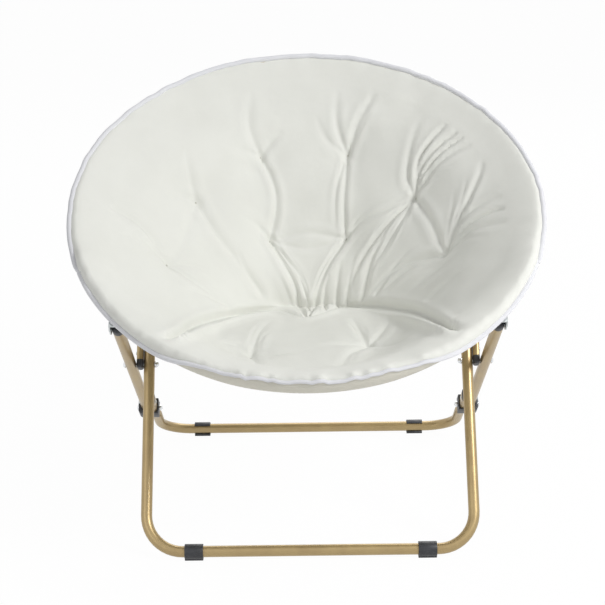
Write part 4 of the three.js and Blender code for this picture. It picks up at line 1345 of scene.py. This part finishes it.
    def relief(self, x: np.ndarray, along: np.ndarray) -> np.ndarray:
        """What the tufts, folds and slack of the cover add along the surface's normal."""
        past = np.hypot(x, along) - self.bowl.rim
        crease = sum(fold.relief(x, along) for fold in CREASE) * share_of(past, *self.crease_reach)
        edge = share_of(past, *self.fold_reach)
        low = np.minimum(crease, 0.0)
        high = np.maximum(crease, 0.0)
        for fold in FOLDS:
            for line in (fold, *fold.companions()):
                part = line.relief(x, along) * edge
                low = np.minimum(low, part)
                high = np.maximum(high, part)
        dip = np.zeros(x.shape)
        for tx, ta in TUFTS:
            away = np.hypot(x - tx * MM, along - ta * MM)
            dip += self.tuft_dip * bell(away, self.tuft_width) + self.tack_dip * bell(away, self.tack_width)
        slack = self.slack + layered(x, along, self.slack_layers)
        return np.maximum(low + high, -self.deepest) + (slack - dip) * edge

    def outline(self) -> list[tuple[float, float, int]]:
        """The closed section before it is shaped.

        Returns:
            Points as reach, height and zone: 0 cover, 1 sleeve, 2 lining.
        """
        rim, radius = self.bowl.rim, self.layout.ring_radius
        line = [(rim * i / self.top_rings, 20 * MM, 0) for i in range(self.top_rings + 1)]
        for i in range(self.sleeve_rings + 1):
            a = self.sleeve_start - self.sleeve_turn * i / self.sleeve_rings
            line.append((radius + self.sleeve_out * math.cos(a), self.sleeve_up * math.sin(a), 1))
        return line + [(rim * i / self.under_rings, -40 * MM, 2) for i in range(self.under_rings, -1, -1)]

    def shape_cover(self, x: np.ndarray, along: np.ndarray) -> np.ndarray:
        """Places of the cover's points: the bowl with its relief, drawn down towards the rim."""
        past = np.hypot(x, along) - self.bowl.rim
        gx, ga = self.bowl.slopes(x, along)
        size = np.sqrt(gx * gx + ga * ga + 1.0)
        push = self.relief(x, along)
        height = self.bowl.height(x, along) + push / size - self.drawn * eased(past, *self.drawn_reach)
        height += self.swell(np.arctan2(x, -along)) * share_of(past, *self.swell_reach)
        return np.column_stack((x - gx / size * push, along - ga / size * push, height))

    def shape_lining(self, x: np.ndarray, along: np.ndarray) -> np.ndarray:
        """Places of the lining's points: pulled in at the tufts, rippled, sagging under the lip."""
        reach, angle = np.hypot(x, along), np.arctan2(x, -along)
        past = reach - self.bowl.rim
        pull = np.zeros(x.shape)
        for px, pa in TUFTS:
            pull += self.tuft_pull * bell(np.hypot(x - px * MM, along - pa * MM), self.pull_width)
        ripple = layered(x, along, self.ripple_layers)
        ripple += share_of(past, *self.pleat_reach) * self.waves(angle, self.pleat_layers)
        edge = share_of(past, *self.lining_reach)
        sag = self.droop(angle) * share_of(past, *self.sag_reach)
        height = self.bowl.height(x, along) - self.bowl.thickness(reach) + (pull + ripple) * edge - sag
        return np.column_stack((x, along, height))

    def section(self, flat: np.ndarray) -> np.ndarray:
        """The angle round the sleeve of points of the plain section, up from its outside."""
        across = np.hypot(flat[:, 0], flat[:, 1]) - self.layout.ring_radius
        return np.arctan2(flat[:, 2] / self.sleeve_up, across / self.sleeve_out)

    def shape_sleeve(self, flat: np.ndarray) -> np.ndarray:
        """Places of the sleeve's points: pinched at the cord, swollen at the hinges, ruffled."""
        x, along, lift = flat.T
        reach, angle = np.hypot(x, along), np.arctan2(x, -along)
        share = np.clip(lift / self.sleeve_up * self.crest, 0.0, 1.0)
        swell = self.swell(angle)
        radius = self.layout.ring_radius
        border = self.section(flat) - self.edge_angle(angle)
        snug = self.snug(angle) * (1.0 - self.pinch * bell(border, self.pinch_width))
        push, rise = self.ruffle(angle)
        grow = (radius + (reach - radius) * snug + push * share + swell * self.side_swell) / reach
        sag = self.droop(angle) * np.clip(-lift / self.sleeve_up, 0.0, 1.0)
        return np.column_stack((x * grow, along * grow, lift * snug + (swell + rise) * share - sag))

    def shape(self, flat: np.ndarray, zone: np.ndarray) -> np.ndarray:
        """Move the spun shell's points to their places in the ring's frame."""
        out = flat.copy()
        out[zone == 0] = self.shape_cover(*flat[zone == 0, :2].T)
        out[zone == 1] = self.shape_sleeve(flat[zone == 1])
        out[zone == 2] = self.shape_lining(*flat[zone == 2, :2].T)
        return out

    def rim_point(self, angle: float, inset: float = 0.0) -> Vector:
        """The piping's middle at an angle round from the front, in the ring's frame."""
        angle = (angle + math.pi) % TURN - math.pi
        a = np.array([angle])
        swell, snug, section = (float(part(a)[0]) for part in (self.swell, self.snug, self.edge_angle))
        push, rise = (float(part[0]) for part in self.ruffle(a))
        share = min(max(math.sin(section) * self.crest, 0.0), 1.0)
        reach = self.layout.ring_radius + (self.sleeve_out * snug + self.piping_out) * math.cos(section)
        reach += push * share + swell * self.side_swell - inset
        lift = (self.sleeve_up * snug + self.piping_out) * math.sin(section) + (swell + rise) * share
        return Vector((reach * math.sin(angle), -reach * math.cos(angle), lift))

    def soften(self, piece: bpy.types.Object, fill: float, *nodes: str) -> None:
        """Hide the nodes that a soft piece stands for and bake its place into its mesh."""
        if nodes:
            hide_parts(*nodes)
        start, end = (self.layout.from_ring(place, 0.0) for place in self.blend_places)
        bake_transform(piece)
        log.info("%s bends over the hinges, %d faces", piece.name, len(piece.data.polygons))

    def build_pad(self) -> bpy.types.Object:
        """Spin the section, shape it and turn it into the ring's tilt."""
        shell = Shell()
        bm = shell.bm
        zone = bm.verts.layers.int.new("zone")
        line = []
        for reach, height, kind in self.outline():
            vert = bm.verts.new(Vector((0.0, -reach, height)))
            vert[zone] = kind
            line.append(vert)
        edges = [bm.edges.new(pair) for pair in zip(line, line[1:])]
        bmesh.ops.spin(
            bm, geom=line + edges, cent=(0.0, 0.0, 0.0), axis=(0.0, 0.0, 1.0), dvec=(0.0, 0.0, 0.0),
            angle=TURN, steps=self.steps, use_merge=True,
        )
        bmesh.ops.remove_doubles(bm, verts=bm.verts, dist=1e-6)
        flat = np.array([v.co for v in bm.verts])
        kinds = np.array([v[zone] for v in bm.verts])
        for vert, place in zip(bm.verts, self.shape(flat, kinds)):
            vert.co = place
        bm.verts.index_update()
        section = self.section(flat)
        border = self.edge_angle(np.arctan2(flat[:, 0], -flat[:, 1]))
        reach = np.hypot(flat[:, 0], flat[:, 1])
        creased = np.abs(CREASE[0].relief(flat[:, 0], flat[:, 1])) > self.crease_depth
        soft_cover = (kinds == 0) & (reach > self.smooth_from) & ~creased
        soft_sleeve = (kinds == 1) & (reach < self.layout.ring_radius) & (flat[:, 2] > 0.0)
        band = [v for v in bm.verts if soft_cover[v.index] or soft_sleeve[v.index]]
        for _ in range(self.smooth_times):
            bmesh.ops.smooth_vert(bm, verts=band, factor=0.5, use_axis_x=True, use_axis_y=True, use_axis_z=True)
        lined = (kinds == 2) | ((kinds == 1) & (section < border + 0.02))
        for face in bm.faces:
            face.material_index = 1 if all(lined[v.index] for v in face.verts) else 0
        bmesh.ops.transform(bm, matrix=self.layout.ring_matrix(), verts=bm.verts)
        return shell.piece("cushion_pad", [Finish.COVER, Finish.LINING], 70.0)

    def build_piping(self, name: str, first: float, last: float, tuck: float = 0.0) -> bpy.types.Object:
        """One run of the corded edge.

        Args:
            name: the piece's name.
            first: the angle round from the front where it starts, in degrees.
            last: the angle where it ends.
            tuck: how far its ends are drawn inwards.

        Returns:
            The finished run.
        """
        count = max(24, int(abs(last - first) / self.cord_step))
        turn = self.layout.ring_matrix()
        rotate = turn.to_3x3()
        route = []
        for i in range(count + 1):
            a = math.radians(first + (last - first) * i / count)
            away = min(i, count - i) * abs(last - first) / count
            inset = tuck * max(0.0, 1.0 - away / self.tuck_room)
            here = self.rim_point(a, inset)
            ahead = self.rim_point(a + 1e-3) - self.rim_point(a - 1e-3)
            ahead.normalize()
            side = ahead.cross(Vector((0.0, 0.0, 1.0))).normalized()
            up = side.cross(ahead).normalized()
            end = min(i, count - i)
            round_off = {0: 0.55, 1: 0.88}.get(end, 1.0)
            radius = self.piping_radius * round_off * self.cord(a)
            route.append(Station(turn @ here, rotate @ side, rotate @ up, radius, radius))
        shell = Shell()
        shell.sweep(route, 14)
        return shell.piece(name, [Finish.PIPING], 60.0)

    def build_tacks(self) -> bpy.types.Object:
        """The crossed thread tacks in the bottoms of the tufts."""
        shell = Shell()
        turn = self.layout.ring_matrix()
        rotate = turn.to_3x3()
        stitch = ((-1.0, 0.3), (-0.85, 0.8), (-0.4, 1.0), (0.4, 1.0), (0.85, 0.8), (1.0, 0.3))
        for index, (tx, ta) in enumerate(TUFTS):
            x, along = np.array([tx * MM]), np.array([ta * MM])
            gx, ga = (float(slope[0]) for slope in self.bowl.slopes(x, along))
            normal = Vector((-gx, -ga, 1.0)).normalized()
            place = Vector((float(x[0]), float(along[0]), float(self.bowl.height(x, along)[0])))
            place += normal * (float(self.relief(x, along)[0]) + self.tack_over)
            side = normal.orthogonal().normalized()
            for quarter in (0.3, 0.3 + QUARTER):
                ahead = Matrix.Rotation(quarter + index, 3, normal) @ side
                across = normal.cross(ahead)
                route = []
                for share, size in stitch:
                    point = place + ahead * (share * self.tack_half)
                    point += normal * (self.tack_bow * (1.0 - share * share))
                    thick, wide = (part * size for part in self.thread)
                    route.append(Station(turn @ point, rotate @ across, rotate @ normal, thick, wide))
                shell.sweep(route, 8)
        return shell.piece("tuft_tacks", [Finish.THREAD], 60.0)

    def build(self) -> None:
        """Build the pad, its corded edge and its tacks."""
        pad = self.build_pad()
        self.soften(pad, 0.55, "seat_pad", "back_pad", "side_wing_left", "side_wing_right")
        split = math.degrees(self.layout.hinge_angle)
        front = split + self.cord_overlap
        self.soften(self.build_piping("piping_back", split + 0.6, 360.0 - split), 0.5)
        self.soften(self.build_piping("piping_front", -front, front, 3 * MM), 0.5)
        self.soften(self.build_tacks(), 0.5)


# Studio

# Each lamp's name, place, size and power in watts.
LAMPS = (
    ("key", (2.2, -1.3, 2.3), 1.0, 61.0),
    ("back", (0.6, 3.0, 2.2), 2.0, 34.0),
    ("fill", (-1.9, -2.0, 1.5), 1.6, 7.0),
)


@dataclass
class Studio:
    """Floor, soft lights and the camera at the photograph's angle."""

    focal: float = 86.281
    sensor: float = 36.0
    pitch: float = math.radians(18.6)
    roll: float = math.radians(0.72)
    eye: tuple[float, float, float] = (-0.0087, -2.4117, 1.1783)
    world_light: float = 0.45
    aim: tuple[float, float, float] = (0.0, 0.0, 0.42)
    floor_half: float = 12.0

    def build_camera(self) -> None:
        """Create the camera and make it the scene's."""
        data = bpy.data.cameras.new("camera")
        data.sensor_width = self.sensor
        data.lens = self.focal
        data.clip_end = 50.0
        camera = bpy.data.objects.new("camera", data)
        camera.matrix_world = (
            Matrix.Translation(self.eye)
            @ Matrix.Rotation(QUARTER - self.pitch, 4, "X")
            @ Matrix.Rotation(-self.roll, 4, "Z")
        )
        bpy.context.scene.collection.objects.link(camera)
        bpy.context.scene.camera = camera

    def lamp(self, name: str, place: tuple[float, float, float], size: float, power: float) -> None:
        """A soft square lamp aimed at the seat."""
        data = bpy.data.lights.new(name, "AREA")
        data.shape = "SQUARE"
        data.size = size
        data.energy = power
        lamp = bpy.data.objects.new(name, data)
        aim = Vector(self.aim) - Vector(place)
        lamp.matrix_world = Matrix.Translation(place) @ aim.to_track_quat("-Z", "Y").to_matrix().to_4x4()
        bpy.context.scene.collection.objects.link(lamp)

    def build_world(self) -> None:
        """A plain white surrounding: full white where it is seen, softer as light."""
        world = bpy.data.worlds.new("studio")
        world.use_nodes = True
        bpy.context.scene.world = world
        tree = world.node_tree
        back = tree.nodes["Background"]
        path = tree.nodes.new("ShaderNodeLightPath")
        seen = path.outputs["Is Camera Ray"]
        for kind in ("Is Glossy Ray", "Is Transmission Ray"):
            either = tree.nodes.new("ShaderNodeMath")
            either.operation = "MAXIMUM"
            tree.links.new(seen, either.inputs[0])
            tree.links.new(path.outputs[kind], either.inputs[1])
            seen = either.outputs[0]
        span = tree.nodes.new("ShaderNodeMapRange")
        span.inputs["To Min"].default_value = self.world_light
        span.inputs["To Max"].default_value = 1.0
        tree.links.new(seen, span.inputs["Value"])
        tree.links.new(span.outputs[0], back.inputs["Strength"])
        back.inputs["Color"].default_value = (1.0, 1.0, 1.0, 1.0)

    def build_floor(self) -> None:
        """A white floor under the feet."""
        bm = bmesh.new()
        bmesh.ops.create_grid(bm, x_segments=1, y_segments=1, size=self.floor_half)
        mesh = bpy.data.meshes.new("floor")
        bm.to_mesh(mesh)
        bm.free()
        mesh.materials.append(StudioWhite().make())
        floor = bpy.data.objects.new("floor", mesh)
        bpy.context.scene.collection.objects.link(floor)

    def build(self) -> None:
        """Build the whole studio."""
        scene = bpy.context.scene
        scene.view_settings.view_transform = "Standard"
        self.build_world()
        self.build_floor()
        for name, place, size, power in LAMPS:
            self.lamp(name, place, size, power)
        self.build_camera()


def main() -> None:
    """Build the chair's looks round the frame."""
    logging.basicConfig(level=logging.INFO, format="%(message)s")
    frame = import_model()
    nodes = frame["nodes"]
    layout = Layout()
    Studio().build()
    CarriedNodes().build(nodes)
    LegFrame(layout).build()
    Fittings().build(nodes)
    Cushion(layout).build()


if __name__ == "__main__":
    main()
